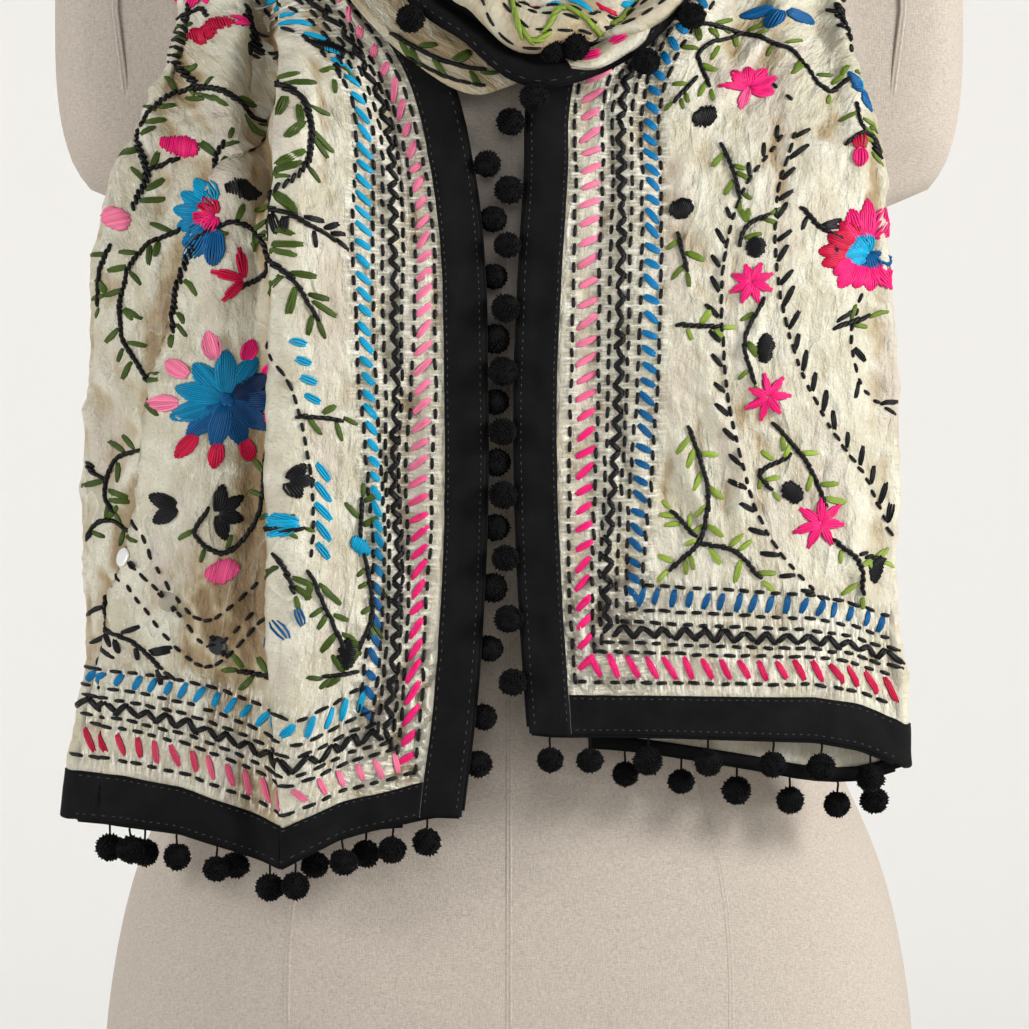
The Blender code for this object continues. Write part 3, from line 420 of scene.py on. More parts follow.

# Motifs, listed as X and height in the front view. Sprays: a stem through a few places,
# the tone of its leaves, their length and how far apart they grow.
SPRAYS = {
    "left": (
        (((-144, 555), (-149, 540), (-136, 519)), OLIVE, 6, 8),
        (((-143, 551), (-134, 553), (-129, 549)), None, 0, 0),
        (((-163, 466), (-158, 480), (-162, 500), (-148, 517), (-128, 518), (-110, 507)), OLIVE, 9, 7.5),
        (((-157, 484), (-144, 488)), None, 0, 0),
        (((-142, 457), (-158, 448), (-168, 419), (-151, 383)), OLIVE, 9, 7.5),
        (((-172, 450), (-180, 436), (-184, 424)), OLIVE, 7, 8),
        (((-155, 362), (-170, 357), (-175, 345), (-171, 335)), OLIVE, 8, 8),
        (((-176, 349), (-185, 356)), None, 0, 0),
        (((-185, 323), (-173, 331), (-163, 325)), OLIVE, 7, 8),
        (((-128, 336), (-134, 325), (-124, 317), (-109, 330), (-104, 360)), OLIVE, 7, 16),
        (((-126, 478), (-126, 488), (-122, 494)), OLIVE, 8, 5),
        (((-132, 451), (-118, 458), (-104, 452)), OLIVE, 7, 9),
        (((-132, 449), (-140, 424), (-142, 412)), OLIVE, 8, 8),
        (((-104, 452), (-104, 438), (-115, 431)), None, 0, 0),
        (((-101, 523), (-88, 508), (-87, 485), (-101, 458), (-83, 417)), OLIVE, 9.5, 6.2),
        (((-98, 464), (-86, 455), (-76, 450)), BLACK, 8, 6),
        (((-91, 376), (-73, 374)), OLIVE, 8, 6),
        (((-101, 327), (-89, 327)), OLIVE, 5, 9),
        (((-96, 316), (-92, 300)), OLIVE, 8, 6),
        (((-87, 309), (-77, 288), (-71, 276)), OLIVE, 9, 5.5),
        (((-62, 316), (-59, 290), (-65, 276)), OLIVE, 7, 8),
        (((-64, 324), (-63, 340)), OLIVE, 8, 5),
        (((-175, 285), (-162, 279), (-149, 267)), BLACK, 9, 6),
        (((-175, 298), (-175, 274)), BLACK, 8, 6),
        (((-101, 264), (-116, 266)), OLIVE, 9, 5),
        (((-66, 266), (-80, 264)), OLIVE, 8, 6),
        (((-114, 556), (-108, 532)), BLACK, 5, 5),
        (((-74, 532), (-76, 520)), OLIVE, 8, 8),
    ),
    "right": (
        (((76, 547), (100, 543), (121, 537), (141, 518), (148, 523)), LEAF, 7, 8),
        (((101, 543), (81, 532), (86, 518)), LEAF, 8, 7),
        (((80, 522), (71, 512)), LEAF, 6, 5),
        (((140, 554), (156, 546), (159, 532)), BLACK, 6, 7),
        (((92, 494), (98, 478), (99, 470)), LEAF, 8, 6),
        (((145, 493), (155, 498), (163, 488)), LEAF, 7, 9),
        (((99, 449), (102, 457), (111, 462)), LEAF, 8, 5),
        (((73, 455), (76, 438)), LEAF, 8, 5),
        (((109, 426), (101, 407), (105, 390)), LEAF, 7, 10),
        (((72, 415), (90, 414)), LIME, 8, 5),
        (((77, 371), (85, 345), (81, 321), (69, 310)), LIME, 8, 7),
        (((80, 324), (70, 335)), LIME, 7, 6),
        (((81, 321), (96, 318), (108, 306)), LIME, 9, 8),
        (((121, 359), (108, 350), (113, 344)), LIME, 7, 10),
        (((114, 373), (130, 353), (136, 337)), LIME, 9, 9),
        (((140, 323), (151, 310), (152, 299)), LIME, 8, 9),
        (((151, 317), (163, 313)), LIME, 7, 6),
        (((126, 466), (134, 458), (143, 452)), BLACK, 8, 6),
        (((150, 512), (152, 498)), LEAF, 8, 5),
        (((140, 414), (155, 419)), LEAF, 9, 8),
    ),
}
# Rows of dashes with side stitches: places, the side of the stitches (0 in turn, None without),
# their length and how far apart they are.
FERNS = {
    "left": (
        (((-159, 338), (-156, 325), (-129, 288), (-107, 305)), None, 0, 0),
        (((-162, 313), (-149, 300)), None, 0, 0),
        (((-144, 293), (-128, 277), (-109, 292)), None, 0, 0),
        (((-167, 309), (-157, 294), (-130, 268), (-104, 290)), None, 0, 0),
        (((-103, 413), (-102, 350), (-103, 280)), None, 0, 0),
        (((-115, 491), (-104, 500)), None, 0, 0),
        (((-99, 409), (-89, 371), (-85, 330), (-86, 314)), None, 0, 0),
    ),
    "right": (
        (((135, 295), (113, 322), (96, 372), (92, 403), (92, 440), (101, 473), (120, 500)), 1, 8, 10.5),
        (((167, 324), (154, 349), (137, 372), (117, 425), (115, 465), (125, 501)), -1, 9, 9.5),
        (((125, 512), (113, 523)), None, 0, 0),
        (((152, 430), (147, 405), (152, 389), (167, 377)), 0, 10, 13),
    ),
}
# Round petalled flowers: x, z, where the petals start and end, first and last angle, petals,
# width, tone of the first and of the last petal.
FLOWERS = {
    "left": (
        (-121, 383, 18.0, 30.5, 101, 178, 3, 9.4, PALE_PINK, PALE_PINK),
        (-121, 383, 18.5, 29.5, 228, 289, 3, 8.8, CRIMSON, CRIMSON),
        (-121, 383, 17.5, 29, 64, 65, 1, 9.0, HOT_PINK, HOT_PINK),
        (-121, 383, 17.0, 22.5, -35, 30, 3, 8.0, HOT_PINK, HOT_PINK),
        (-121, 383, 2.0, 22, 54, 194, 5, 12.4, TEAL, TEAL),
        (-121, 383, 2.0, 22, 222, 384, 6, 12.4, BLUE, NAVY),
        (-124, 461, 5.5, 21, 86, 256, 8, 11.0, CYAN, BLUE),
        (-124, 461, 0.3, 9.5, 95, 235, 4, 8.0, CRIMSON, HOT_PINK),
        (-113, 548, 0.0, 7.0, 150, 190, 2, 2.4, HOT_PINK, HOT_PINK),
        (-114, 434, 0.5, 13.0, 95, 222, 3, 4.6, CRIMSON, CRIMSON),
        (-125, 334, 0.5, 12.5, -72, 80, 4, 7.4, BLACK, BLACK),
        (-140.5, 337, 0.5, 12.5, 158, 212, 2, 8.6, BLACK, BLACK),
        (-94, 348, 0.5, 9.5, -62, 46, 3, 7.0, BLACK, BLACK),
        (-90, 330, 0.5, 10.0, 155, 213, 3, 5.8, CYAN, CYAN),
    ),
    "right": (
        (119, 555, 2.5, 15, 200, 340, 3, 9.5, BLUE, BLUE),
        (104, 519, 0.2, 12.0, -12, 148, 5, 9.0, HOT_PINK, HOT_PINK),
        (104, 519, 0.2, 13.5, 187, 187, 1, 3.6, HOT_PINK, HOT_PINK),
        (104, 519, 0.2, 13.0, 261, 261, 1, 6.0, ROSE, ROSE),
        (156, 447, 7.0, 23.5, 74, 114, 3, 10.5, HOT_PINK, HOT_PINK),
        (156, 447, 7.0, 21.0, 128, 172, 3, 11.0, CRIMSON, CRIMSON),
        (156, 447, 7.0, 20.0, 192, 214, 2, 10.5, CRIMSON, HOT_PINK),
        (156, 447, 7.0, 22.0, 234, 290, 4, 11.0, HOT_PINK, HOT_PINK),
        (156, 447, 0.2, 12.5, 100, 214, 5, 9.0, CYAN, CYAN),
        (156, 447, 0.2, 11.0, 244, 326, 3, 8.0, BLUE, BLUE),
        (104, 433, 0.1, 10.0, 22, 382, 8, 3.8, HOT_PINK, HOT_PINK),
        (111, 384, 0.1, 10.5, 50, 410, 7, 3.6, HOT_PINK, HOT_PINK),
        (134, 330, 0.1, 12.0, 35, 395, 7, 4.6, HOT_PINK, HOT_PINK),
        (153, 518, 1.0, 10.5, 20, 285, 3, 7.4, BLUE, BLUE),
        (153, 518, 1.0, 7.0, 120, 200, 2, 5.4, CYAN, BLUE),
        (151, 491, 0.0, 9.0, 95, 270, 2, 7.4, CRIMSON, HOT_PINK),
    ),
}
# A petal: its threads for each millimetre of width, how far its sides fall short of its tip, its
# width at the root and the tip as shares, how far its threads bow, and how much they vary.
PETAL_THREADS, PETAL_FALL = 0.8, 0.24
PETAL_ROOT, PETAL_TIP, PETAL_BOW, PETAL_VARY = 0.20, 0.52, 0.15, 0.22
# Satin: how far its threads lie apart, how ragged their ends are, and how much they vary.
SATIN_PITCH, SATIN_RAGGED, SATIN_VARY = 0.70, (-0.9, 0.5), 0.2
# Ovals of close threads: x, z, half length, half height, lean of the threads, turn, tone.
OVALS = {
    "left": (
        (-143, 494, 8.2, 6.2, 62, -32, HOT_PINK), (-121, 383, 3.4, 3.4, 30, 0, BLUE),
        (-170, 462, 6.4, 5.6, 8, 0, PALE_PINK),
        (-132.5, 541.5, 6.2, 5.4, 74, 0, CRIMSON), (-124.5, 546, 5.2, 3.6, 80, 12, CRIMSON),
        (-114, 472, 6.0, 4.6, 84, 0, BLACK),
        (-123, 309, 7.0, 6.0, 82, 10, ROSE), (-79, 534, 6.6, 3.6, 80, 0, BLACK),
        (-64, 320, 4.2, 4.6, 72, 0, CYAN),
        (-70, 274, 4.0, 6.2, 20, 0, BLACK),
    ),
    "right": (
        (84, 505, 5.8, 4.8, 78, 40, BLACK), (74, 465, 5.0, 4.8, 80, 0, BLACK),
        (106, 448, 4.6, 4.4, 8, 0, BLACK), (110, 405, 4.4, 6.4, 12, 0, BLACK),
        (122, 343, 4.6, 5.4, 60, 20, BLACK), (159, 310, 3.6, 6.6, 112, 0, BLACK),
    ),
}
# Short bars in a row: from and to, how many, length, lean, tone.
LADDERS = {
    "left": (
        ((-90.5, 407), (-85, 383), 4, 7.0, -22, CYAN), ((-81, 352), (-81, 318), 5, 9.0, -38, CYAN),
        ((-90, 290), (-101, 278), 3, 8.5, -76, BLUE), ((-102, 292), (-103, 304), 2, 7.0, 76, BLUE),
    ),
    "right": (),
}
# Small round mirrors: x, z, radius.
MIRRORS = {"left": ((-162, 315, 4.2), (-146, 296, 4.2), (-125, 277, 4.2)), "right": ()}
# Turns at which stitches hold a mirror down.
MIRROR_HOLDS = (-62, -48, 118, 132)
# A mirror's rings, from its back to its face: height over the silk and share of the radius.
MIRROR_RINGS = ((-0.2, 0.96), (0.95, 1.0), (1.15, 0.93), (1.15, 0.5))
# A garland goes on above the front view's top: where it starts along the stole, how far short
# of the end it stops, its middle line and swing, how close its flowers are, and their tones.
GARLAND_FROM, GARLAND_SHORT = 392.0, 6.0
GARLAND_MIDDLE, GARLAND_SWING, GARLAND_PITCH = 92.0, 20.0, 47.0
GARLAND_TONES = (HOT_PINK, CYAN, CRIMSON, PALE_PINK, BLUE)

# Border tones from the hem up the side, and across the hem from the tape outwards.
BORDER_TONES = {
    "left": ((HOT_PINK, PALE_PINK), (BLUE, CYAN), (PALE_PINK, CRIMSON), (CYAN, SIDE_BLUE)),
    "right": ((HOT_PINK, PALE_PINK), (DEEP_BLUE, SIDE_BLUE), (HOT_PINK, CRIMSON), (DEEP_BLUE, BLUE)),
}


# Where the loop's under layer hangs lowest: X of the strand, how far down, how wide.
LOOP_TIP = (-6.0, 5.5, 9.0)
# The silk rolled over the loop's tape: along the loop, and how far from the tape's edge it lies.
ROLL_LINE = (
    (95, 14), (120, 12), (150, 7), (170, 2), (181, 0.8), (190, 1.8), (198, 4.2), (204.5, 8.6),
    (212, 13.4), (219, 16), (231, 16), (244, 14), (254, 13), (275, 13.5), (330, 14.5),
)
ROLL_WIDE, ROLL_HIGH = 25.0, 3.6
TUCK_LINE = ((193, 3.0), (197, 1.0), (205, 0.8), (214, 1.2), (219, 4.0))
TUCK_WIDE, TUCK_HIGH = 11.0, 0.5
# The rolled silk: how closely it is set out along and across, the radius of its roll, how high
# its middle line lies, how far down its inner edge sinks, how far its turned-under edge runs back
# and how high, and how far from an end it reaches its full height.
ROLL_STEPS = (1.6, 1.1)
ROLL_RADIUS = 4.0
ROLL_RISE, ROLL_SINK = 1.7, 2.2
ROLL_UNDER, ROLL_UNDER_HEIGHTS = (2.6, 0.8), (1.6, 1.9)
ROLL_FADE = 14.0
TUCK_BARS, TUCK_BAR_REACH = ((203, 5.5), (213, 5.0)), 3.0
# Stitches on the rolled silk, by rule: rows of dashes and a row of bars, each at its distance
# from the tape's edge, and a wavy stem, as its distance, swing and wave length.
ROLL_ENDS = 12.0
ROLL_ROWS = (3.0, 6.2, 9.5, 12.8)
ROLL_BAR_ROW, ROLL_BAR_PITCH, ROLL_BAR_REACH = 16.0, 8.5, (2.6, 1.5)
ROLL_STEM = (8.0, 3.6, 26.0)
# A plain spray on the under layer with a row of dashes below it, as X and height.
UNDER_SPRAY = ((-50, 541), (-30, 530), (-12, 525))
UNDER_DASHES = ((-44, 531), (-26, 522), (-10, 518))
FRONT_BALLS = ((18.9, 531.5), (29.7, 530.1))


def curve_through(at, known, values):
    """Smooth values between known places: a cubic whose slopes are those of the neighbours."""
    known = np.asarray(known, float)
    values = np.asarray(values, float)
    slopes = np.gradient(values, known, axis=0)
    left = np.clip(np.searchsorted(known, at) - 1, 0, len(known) - 2)
    span = known[left + 1] - known[left]
    part = np.clip((at - known[left]) / span, 0, 1)
    if values.ndim > 1:
        span, part = span[..., None], part[..., None]
    rise = 3 * part**2 - 2 * part**3
    return (values[left] * (1 - rise) + values[left + 1] * rise
            + span * slopes[left] * (part**3 - 2 * part**2 + part)
            + span * slopes[left + 1] * (part**3 - part**2))


def run_length(points):
    """How far along a line of points each one is."""
    return np.concatenate([[0], np.cumsum(np.linalg.norm(np.diff(points, axis=0), axis=1))])


def smooth_step(value):
    part = np.clip(value, 0, 1)
    return part * part * (3 - 2 * part)


def smooth_max(first, second, blend):
    """The larger of two values, rounded off where they are within blend of each other."""
    share = np.clip(0.5 + 0.5 * (first - second) / blend, 0, 1)
    return second + (first - second) * share + blend * share * (1 - share)


def unit(ways):
    return ways / (np.linalg.norm(ways, axis=-1, keepdims=True) + TINY)


def noise(u, v, seed):
    """Smooth noise from -1 to 1: random values on a square lattice of side 1, blended between.

    value = sum over the four corners of corner * w(u) * w(v), with w the smooth step.
    """
    lattice = np.random.default_rng(seed).uniform(-1, 1, (64, 64))
    i, j = np.floor(u).astype(int), np.floor(v).astype(int)
    a, b = smooth_step(u - i), smooth_step(v - j)
    i, j = i % 64, j % 64
    p, q = (i + 1) % 64, (j + 1) % 64
    return (lattice[i, j] * (1 - a) * (1 - b) + lattice[p, j] * a * (1 - b)
            + lattice[i, q] * (1 - a) * b + lattice[p, q] * a * b)


def form_field(points):
    """Below zero inside the form: the torso and the two arm stubs, blended where they meet."""
    x, y, z = np.moveaxis(points, -1, 0)
    rows = np.array(FORM_ROWS, float)
    half, front, back = (curve_through(z, rows[:, 0], rows[:, k]) for k in (1, 2, 3))
    far = np.hypot(x, y) + TINY
    side, ahead = x / far + TINY, -y / far + TINY
    depth = np.where(ahead > 0, front, back)
    power = FORM_SQUARENESS
    edge = (np.abs(side / half) ** power + np.abs(ahead / depth) ** power) ** (-1 / power)
    turn = np.degrees(np.arctan2(np.abs(side), ahead))
    edge = edge + BUST_HEIGHT * np.exp(-(((turn - BUST_AT[0]) / BUST_SPREAD[0]) ** 2)
                                       - ((z - BUST_AT[1]) / BUST_SPREAD[1]) ** 2)
    torso = far - edge
    parts = [np.abs(value) / radius for value, radius in
             zip((np.abs(x) - ARM_CENTRE[0], y - ARM_CENTRE[1], z - ARM_CENTRE[2]), ARM_RADII)]
    arm = (sum(part**ARM_SQUARENESS for part in parts) ** (1 / ARM_SQUARENESS) - 1) * ARM_RADII[0]
    return -smooth_max(-torso, -arm, FORM_BLEND)


def outermost(field, steps):
    """The furthest step at which each row of the field is still inside, or the first step."""
    inside = field < 0
    last = field.shape[-1] - 1 - np.argmax(inside[..., ::-1], axis=-1)
    last = np.clip(last, 0, field.shape[-1] - 2)
    low = np.take_along_axis(field, last[..., None], -1)[..., 0]
    high = np.take_along_axis(field, last[..., None] + 1, -1)[..., 0]
    found = steps[last] + (steps[1] - steps[0]) * np.clip(-low / (high - low + TINY), 0, 1)
    return np.where(inside.any(axis=-1), found, steps[0])


def strand_of(end_rows, way_rows, hand):
    """One strand of the stole: its stations as an array, measured along its middle line."""
    rows = []
    for z, inner, outer, y, gap, ripple, curl, clear in end_rows:
        rows.append(((inner + outer) / 2, y, z, 0, -1, 0, abs(outer - inner), gap, ripple, curl, clear))
    rows = np.array(rows + list(way_rows), float)
    return {"along": run_length(rows[:, :3]), "rows": rows, "hand": hand, "hanging": len(end_rows)}


def frame_at(strand, along):
    """Middle point, the way towards the tape edge, the way out, and the other columns."""
    values = curve_through(along, strand["along"], strand["rows"])
    ahead = curve_through(along + 1.0, strand["along"], strand["rows"])[..., :3]
    behind = curve_through(along - 1.0, strand["along"], strand["rows"])[..., :3]
    run = unit(ahead - behind)
    out = values[..., 3:6]
    out = unit(out - run * (out * run).sum(-1, keepdims=True))
    side = np.cross(run, out) * strand["hand"]
    return values[..., :3], side, out, values[..., 6:]


def rest_height(middle, side, out, across, curl, clear):
    """How far out the cloth lies at this place: on the form, or free where it hangs."""
    foot = middle + side * across[..., None]
    grid = foot[..., None, :] + out[..., None, :] * REST_STEPS[:, None]
    touching = outermost(form_field(grid), REST_STEPS) + clear
    free = -curl * np.clip((np.abs(foot[..., 0]) - FREE_FROM) / FREE_SPAN, 0, None) ** 2
    return smooth_max(touching, free, REST_BLEND)


def crease_height(creases, x, z):
    """Soft ridges along straight lines, with a steep and a slack flank."""
    total = np.zeros_like(x)
    for x0, z0, h0, x1, z1, h1, left, right in creases:
        share = np.clip((z - z0) / (z1 - z0), 0, 1)
        away = x - (x0 + (x1 - x0) * share)
        spread = np.where(away < 0, left, right)
        fade = np.clip((z0 + CREASE_FADE - z) / CREASE_FADE, 0, 1)
        total = total + (h0 + (h1 - h0) * share) * fade * np.exp(-((away / spread) ** 2))
    return total


def cloth_point(strand, along, from_edge, layer, inset, creases=()):
    """Points of the cloth's middle surface: layer 0 in front, 1 behind, between round the fold.

    P = middle + side * across + out * (rest + gap + relief).
    """
    middle, side, out, rest = frame_at(strand, along)
    width, gap, ripple, curl, clear = np.moveaxis(rest, -1, 0)
    across = width / 2 - from_edge
    share = (from_edge - inset) / (width - inset)
    relief = ripple * np.sin(2 * np.pi * RIPPLES * share + RIPPLE_START)
    if len(creases):
        foot = middle + side * across[..., None]
        hanging = np.clip((strand["along"][strand["hanging"] - 1] - along) / CREASE_TOP_FADE, 0, 1)
        relief = relief + hanging * crease_height(creases, foot[..., 0], foot[..., 2])
    relief = relief * np.clip((width - from_edge - gap / 2) / RIPPLE_FADE, 0, 1)
    turn = np.pi * layer
    across = np.where((layer > 0) & (layer < 1), -width / 2 + gap / 2 - gap / 2 * np.sin(turn), across)
    height = np.where(layer == 0, gap + relief, gap / 2 + gap / 2 * np.cos(turn))
    height = height + rest_height(middle, side, out, across, curl, clear) + WALL / 2
    return middle + side * across[..., None] + out * height[..., None]


def refine(grid, rows, columns):
    """The same surface at more places: cubics along its rows, then along its columns."""
    count, across, depth = grid.shape
    tall = curve_through(rows, np.arange(count), grid.reshape(count, -1))
    tall = tall.reshape(len(rows), across, depth).transpose(1, 0, 2).reshape(across, -1)
    wide = curve_through(columns, np.arange(across), tall)
    return wide.reshape(len(columns), len(rows), depth).transpose(1, 0, 2)


def grid_normals(grid):
    """Unit normals of a grid, from the differences along its rows and its columns."""
    return unit(np.cross(np.gradient(grid, axis=0), np.gradient(grid, axis=1)))


def sample(grid, i, j):
    """Bilinear values of a grid at fractional rows and columns."""
    i = np.clip(i, 0, grid.shape[0] - 1.001)
    j = np.clip(j, 0, grid.shape[1] - 1.001)
    a, b = i.astype(int), j.astype(int)
    p, q = (i - a)[..., None], (j - b)[..., None]
    return (grid[a, b] * (1 - p) * (1 - q) + grid[a + 1, b] * p * (1 - q)
            + grid[a, b + 1] * (1 - p) * q + grid[a + 1, b + 1] * p * q)


def columns_of(counts):
    """For each column of a section: its share of the way from edge to fold, and its layer."""
    front, turns, behind = counts
    share = np.concatenate([np.linspace(0, 1, front), np.ones(turns), np.linspace(1, 0, behind)])
    layer = np.concatenate([np.zeros(front), np.arange(1, turns + 1) / (turns + 1), np.ones(behind)])
    return share, layer


def spread(coarse, fine):
    """The fine columns' places, counted in coarse columns, kind by kind."""
    front = np.linspace(0, coarse[0] - 1, fine[0])
    behind = np.linspace(coarse[0] + coarse[1], sum(coarse) - 1, fine[2])
    turns = np.linspace(front[-1], behind[0], fine[1] + 2)[1:-1]
    return np.concatenate([front, turns, behind])


def lay_cloth(strand, start, end, setback, inset, creases, coarse, coarse_rows, fine, rows):
    """A stretch of the stole as a fine grid, rows along it by columns round its section.

    start gives where each column begins along the strand, from its share and layer. setback and
    inset give how far the back and the front layer stop short of the edge, from the place along.
    """
    def section(counts, row_count):
        share, layer = columns_of(counts)
        first = start(share, layer)
        along = first + np.linspace(0, 1, row_count)[:, None] * (end - first)
        bend = along[:, counts[0]]
        width, gap = frame_at(strand, bend)[3][:, :2].T
        short = np.where(layer == 1, setback(bend)[:, None], inset(bend)[:, None])
        from_edge = short + share * ((width - gap / 2)[:, None] - short)
        from_edge = np.where((layer > 0) & (layer < 1), width[:, None], from_edge)
        return along, from_edge, np.broadcast_to(layer, along.shape), inset(bend)[:, None], width - gap / 2

    along, from_edge, layer, short, _ = section(coarse, coarse_rows)
    base = cloth_point(strand, along, from_edge, layer, short, creases)
    base = refine(base, np.linspace(0, coarse_rows - 1, rows), spread(coarse, fine))
    along, from_edge, layer, short, reach = section(fine, rows)
    return {"base": base, "u": along, "v": from_edge - short, "layer": layer, "front": fine[0],
            "turns": fine[1], "starts": along[0], "strand": strand, "start": along[0, :fine[0]],
            "end": end, "span": reach - short[:, 0], "reach": reach,
            "setback": setback(along[:, fine[0]])}


def hem_start(strand, hem, hem_behind):
    """Where each column of a hanging end begins, so that its bottom row is the hem."""
    bottom = strand["rows"][0, 2]
    width, gap = frame_at(strand, np.array([hem[0][1] - bottom]))[3][0, :2]

    def start(share, layer):
        from_edge = np.where(layer == 1, SETBACK + share * (width - gap / 2 - SETBACK),
                             share * (width - gap / 2))
        from_edge = np.where((layer > 0) & (layer < 1), width, from_edge) / width
        front, behind = np.array(hem, float).T, np.array(hem_behind, float).T
        height = np.where(layer < 1, np.interp(from_edge, *front), np.interp(from_edge, *behind))
        return height - bottom

    return start


def grid_places(cloth, u, v):
    """Fractional rows and columns of places (u, v) on the front layer."""
    rows, front = len(cloth["span"]), cloth["front"]
    i, j = np.full(np.shape(u), rows / 2.0), np.zeros(np.shape(u))
    for _ in range(4):
        j = v / np.interp(i, np.arange(rows), cloth["span"]) * (front - 1)
        first = np.interp(j, np.arange(front), cloth["start"])
        i = (u - first) / (cloth["end"] - first) * (rows - 1)
    return i, j


def front_places(cloth, x, z):
    """Fractional rows and columns of places (x, z) of the front view, on the smooth surface."""
    flat = cloth["base"][:, :cloth["front"]][..., [0, 2]]
    coarse = flat[::3, ::2]
    away = ((coarse[None, ..., 0] - x[:, None, None]) ** 2 + (coarse[None, ..., 1] - z[:, None, None]) ** 2)
    nearest = away.reshape(len(x), -1).argmin(axis=1)
    i = (nearest // coarse.shape[1]) * 3.0
    j = (nearest % coarse.shape[1]) * 2.0
    target = np.stack([x, z], axis=-1)
    for _ in range(6):
        here = sample(flat, i, j)
        di = sample(flat, i + 1, j) - sample(flat, i - 1, j)
        dj = sample(flat, i, j + 1) - sample(flat, i, j - 1)
        miss = target - here
        det = di[:, 0] * dj[:, 1] - di[:, 1] * dj[:, 0] + TINY
        step_i = 2 * (miss[:, 0] * dj[:, 1] - miss[:, 1] * dj[:, 0]) / det
        step_j = 2 * (di[:, 0] * miss[:, 1] - di[:, 1] * miss[:, 0]) / det
        i = np.clip(i + np.clip(step_i, -6, 6), 0, flat.shape[0] - 1)
        j = np.clip(j + np.clip(step_j, -6, 6), 0, flat.shape[1] - 1)
    return i, j


class Finish:
    """A Principled material, with short ways to lay and join the nodes of its texture."""

    def __init__(self, name, colour, roughness, specular=None):
        self.made = bpy.data.materials.new(name)
        self.made.use_nodes = True
        self.tree = self.made.node_tree
        self.shader = self.tree.nodes["Principled BSDF"]
        self.shader.inputs["Base Color"].default_value = (*colour, 1.0)
        self.shader.inputs["Roughness"].default_value = roughness
        if specular is not None:
            self.shader.inputs["Specular IOR Level"].default_value = specular

    def node(self, kind, sockets=(), **settings):
        """A node's outputs, once its settings are made and each socket has its value or link."""
        made = self.tree.nodes.new("ShaderNode" + kind)
        for title, value in settings.items():
            setattr(made, title, value)
        for socket, value in dict(sockets).items():
            if isinstance(value, bpy.types.NodeSocket):
                self.tree.links.new(value, made.inputs[socket])
            else:
                made.inputs[socket].default_value = value
        return made.outputs

    def given(self, title):
        return self.node("Attribute", attribute_name=title)

    def place(self):
        return self.node("TexCoord")["Object"]

    def streaks(self, source, scale, finest=2.0, bend=0.0):
        """Noise drawn out along the axes of its source."""
        stretched = self.node("Mapping", {"Vector": source, "Scale": scale})["Vector"]
        sockets = {"Vector": stretched, "Scale": 1.0, "Detail": finest, "Distortion": bend}
        return self.node("TexNoise", sockets)["Fac"]

    def ramp(self, source, low, high, most=1.0):
        """0 at low and most at high, straight between."""
        sockets = {"Value": source, "From Min": low, "From Max": high, "To Max": most}
        return self.node("MapRange", sockets)["Result"]

    def sum_of(self, kind, *values):
        return self.node("Math", enumerate(values), operation=kind)["Value"]

    def blend(self, share, first, second):
        return self.node("Mix", {0: share, 6: first, 7: second}, data_type="RGBA")[2]

    def shades(self, share, colour, dark, light):
        """The colour from dark times to light times itself, by share."""
        return self.blend(share, (*(dark * np.array(colour)), 1.0), (*(light * np.array(colour)), 1.0))

    def bump(self, height, depth, strength, under=None):
        sockets = {"Height": height, "Distance": depth, "Strength": strength}
        if under is not None:
            sockets["Normal"] = under
        return self.node("Bump", sockets)["Normal"]

    def paint(self, colour=None, normal=None):
        """Joins the colour and the normal to the shader, and gives the material."""
        for title, value in (("Base Color", colour), ("Normal", normal)):
            if value is not None:
                self.tree.links.new(value, self.shader.inputs[title])
        return self.made

    def one_sided(self):
        """The same finish, clear from behind, so that the sweep hides nothing from the back."""
        clear = self.node("BsdfTransparent")["BSDF"]
        behind = self.node("NewGeometry")["Backfacing"]
        shown = self.node("MixShader", {0: behind, 1: self.shader.outputs["BSDF"], 2: clear})["Shader"]
        self.tree.links.new(shown, self.tree.nodes["Material Output"].inputs["Surface"])
        return self.made


def mesh_object(name, points, faces, finish, attributes=None):
    """One smooth object from points in millimetres and arrays of faces with 3 or 4 corners."""
    mesh = bpy.data.meshes.new(name)
    faces = [np.asarray(f, np.int32) for f in faces if len(f)]
    corners = np.concatenate([f.ravel() for f in faces])
    sizes = np.concatenate([np.full(len(f), f.shape[1], np.int32) for f in faces])
    mesh.vertices.add(len(points))
    mesh.vertices.foreach_set("co", (np.asarray(points, np.float32) * MM).ravel())
    mesh.loops.add(len(corners))
    mesh.loops.foreach_set("vertex_index", corners)
    mesh.polygons.add(len(sizes))
    mesh.polygons.foreach_set("loop_start", np.concatenate([[0], np.cumsum(sizes)[:-1]]).astype(np.int32))
    mesh.polygons.foreach_set("loop_total", sizes)
    for title, (kind, values) in (attributes or {}).items():
        layer = mesh.attributes.new(title, kind, "POINT")
        field = {"FLOAT": "value", "FLOAT_VECTOR": "vector", "FLOAT_COLOR": "color"}[kind]
        layer.data.foreach_set(field, np.asarray(values, np.float32).ravel())
    mesh.update()
    mesh.validate()
    mesh.shade_smooth()
    mesh.materials.append(finish)
    thing = bpy.data.objects.new(name, mesh)
    bpy.context.collection.objects.link(thing)
    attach(thing, "root")
    return thing


def volume(points, faces):
    """Signed volume of a closed mesh: above zero when its faces point outwards."""
    total = 0.0
    for group in faces:
        for k in range(1, group.shape[1] - 1):
            a, b, c = (points[group[:, m]] for m in (0, k, k + 1))
            total += (a * np.cross(b, c)).sum()
    return total


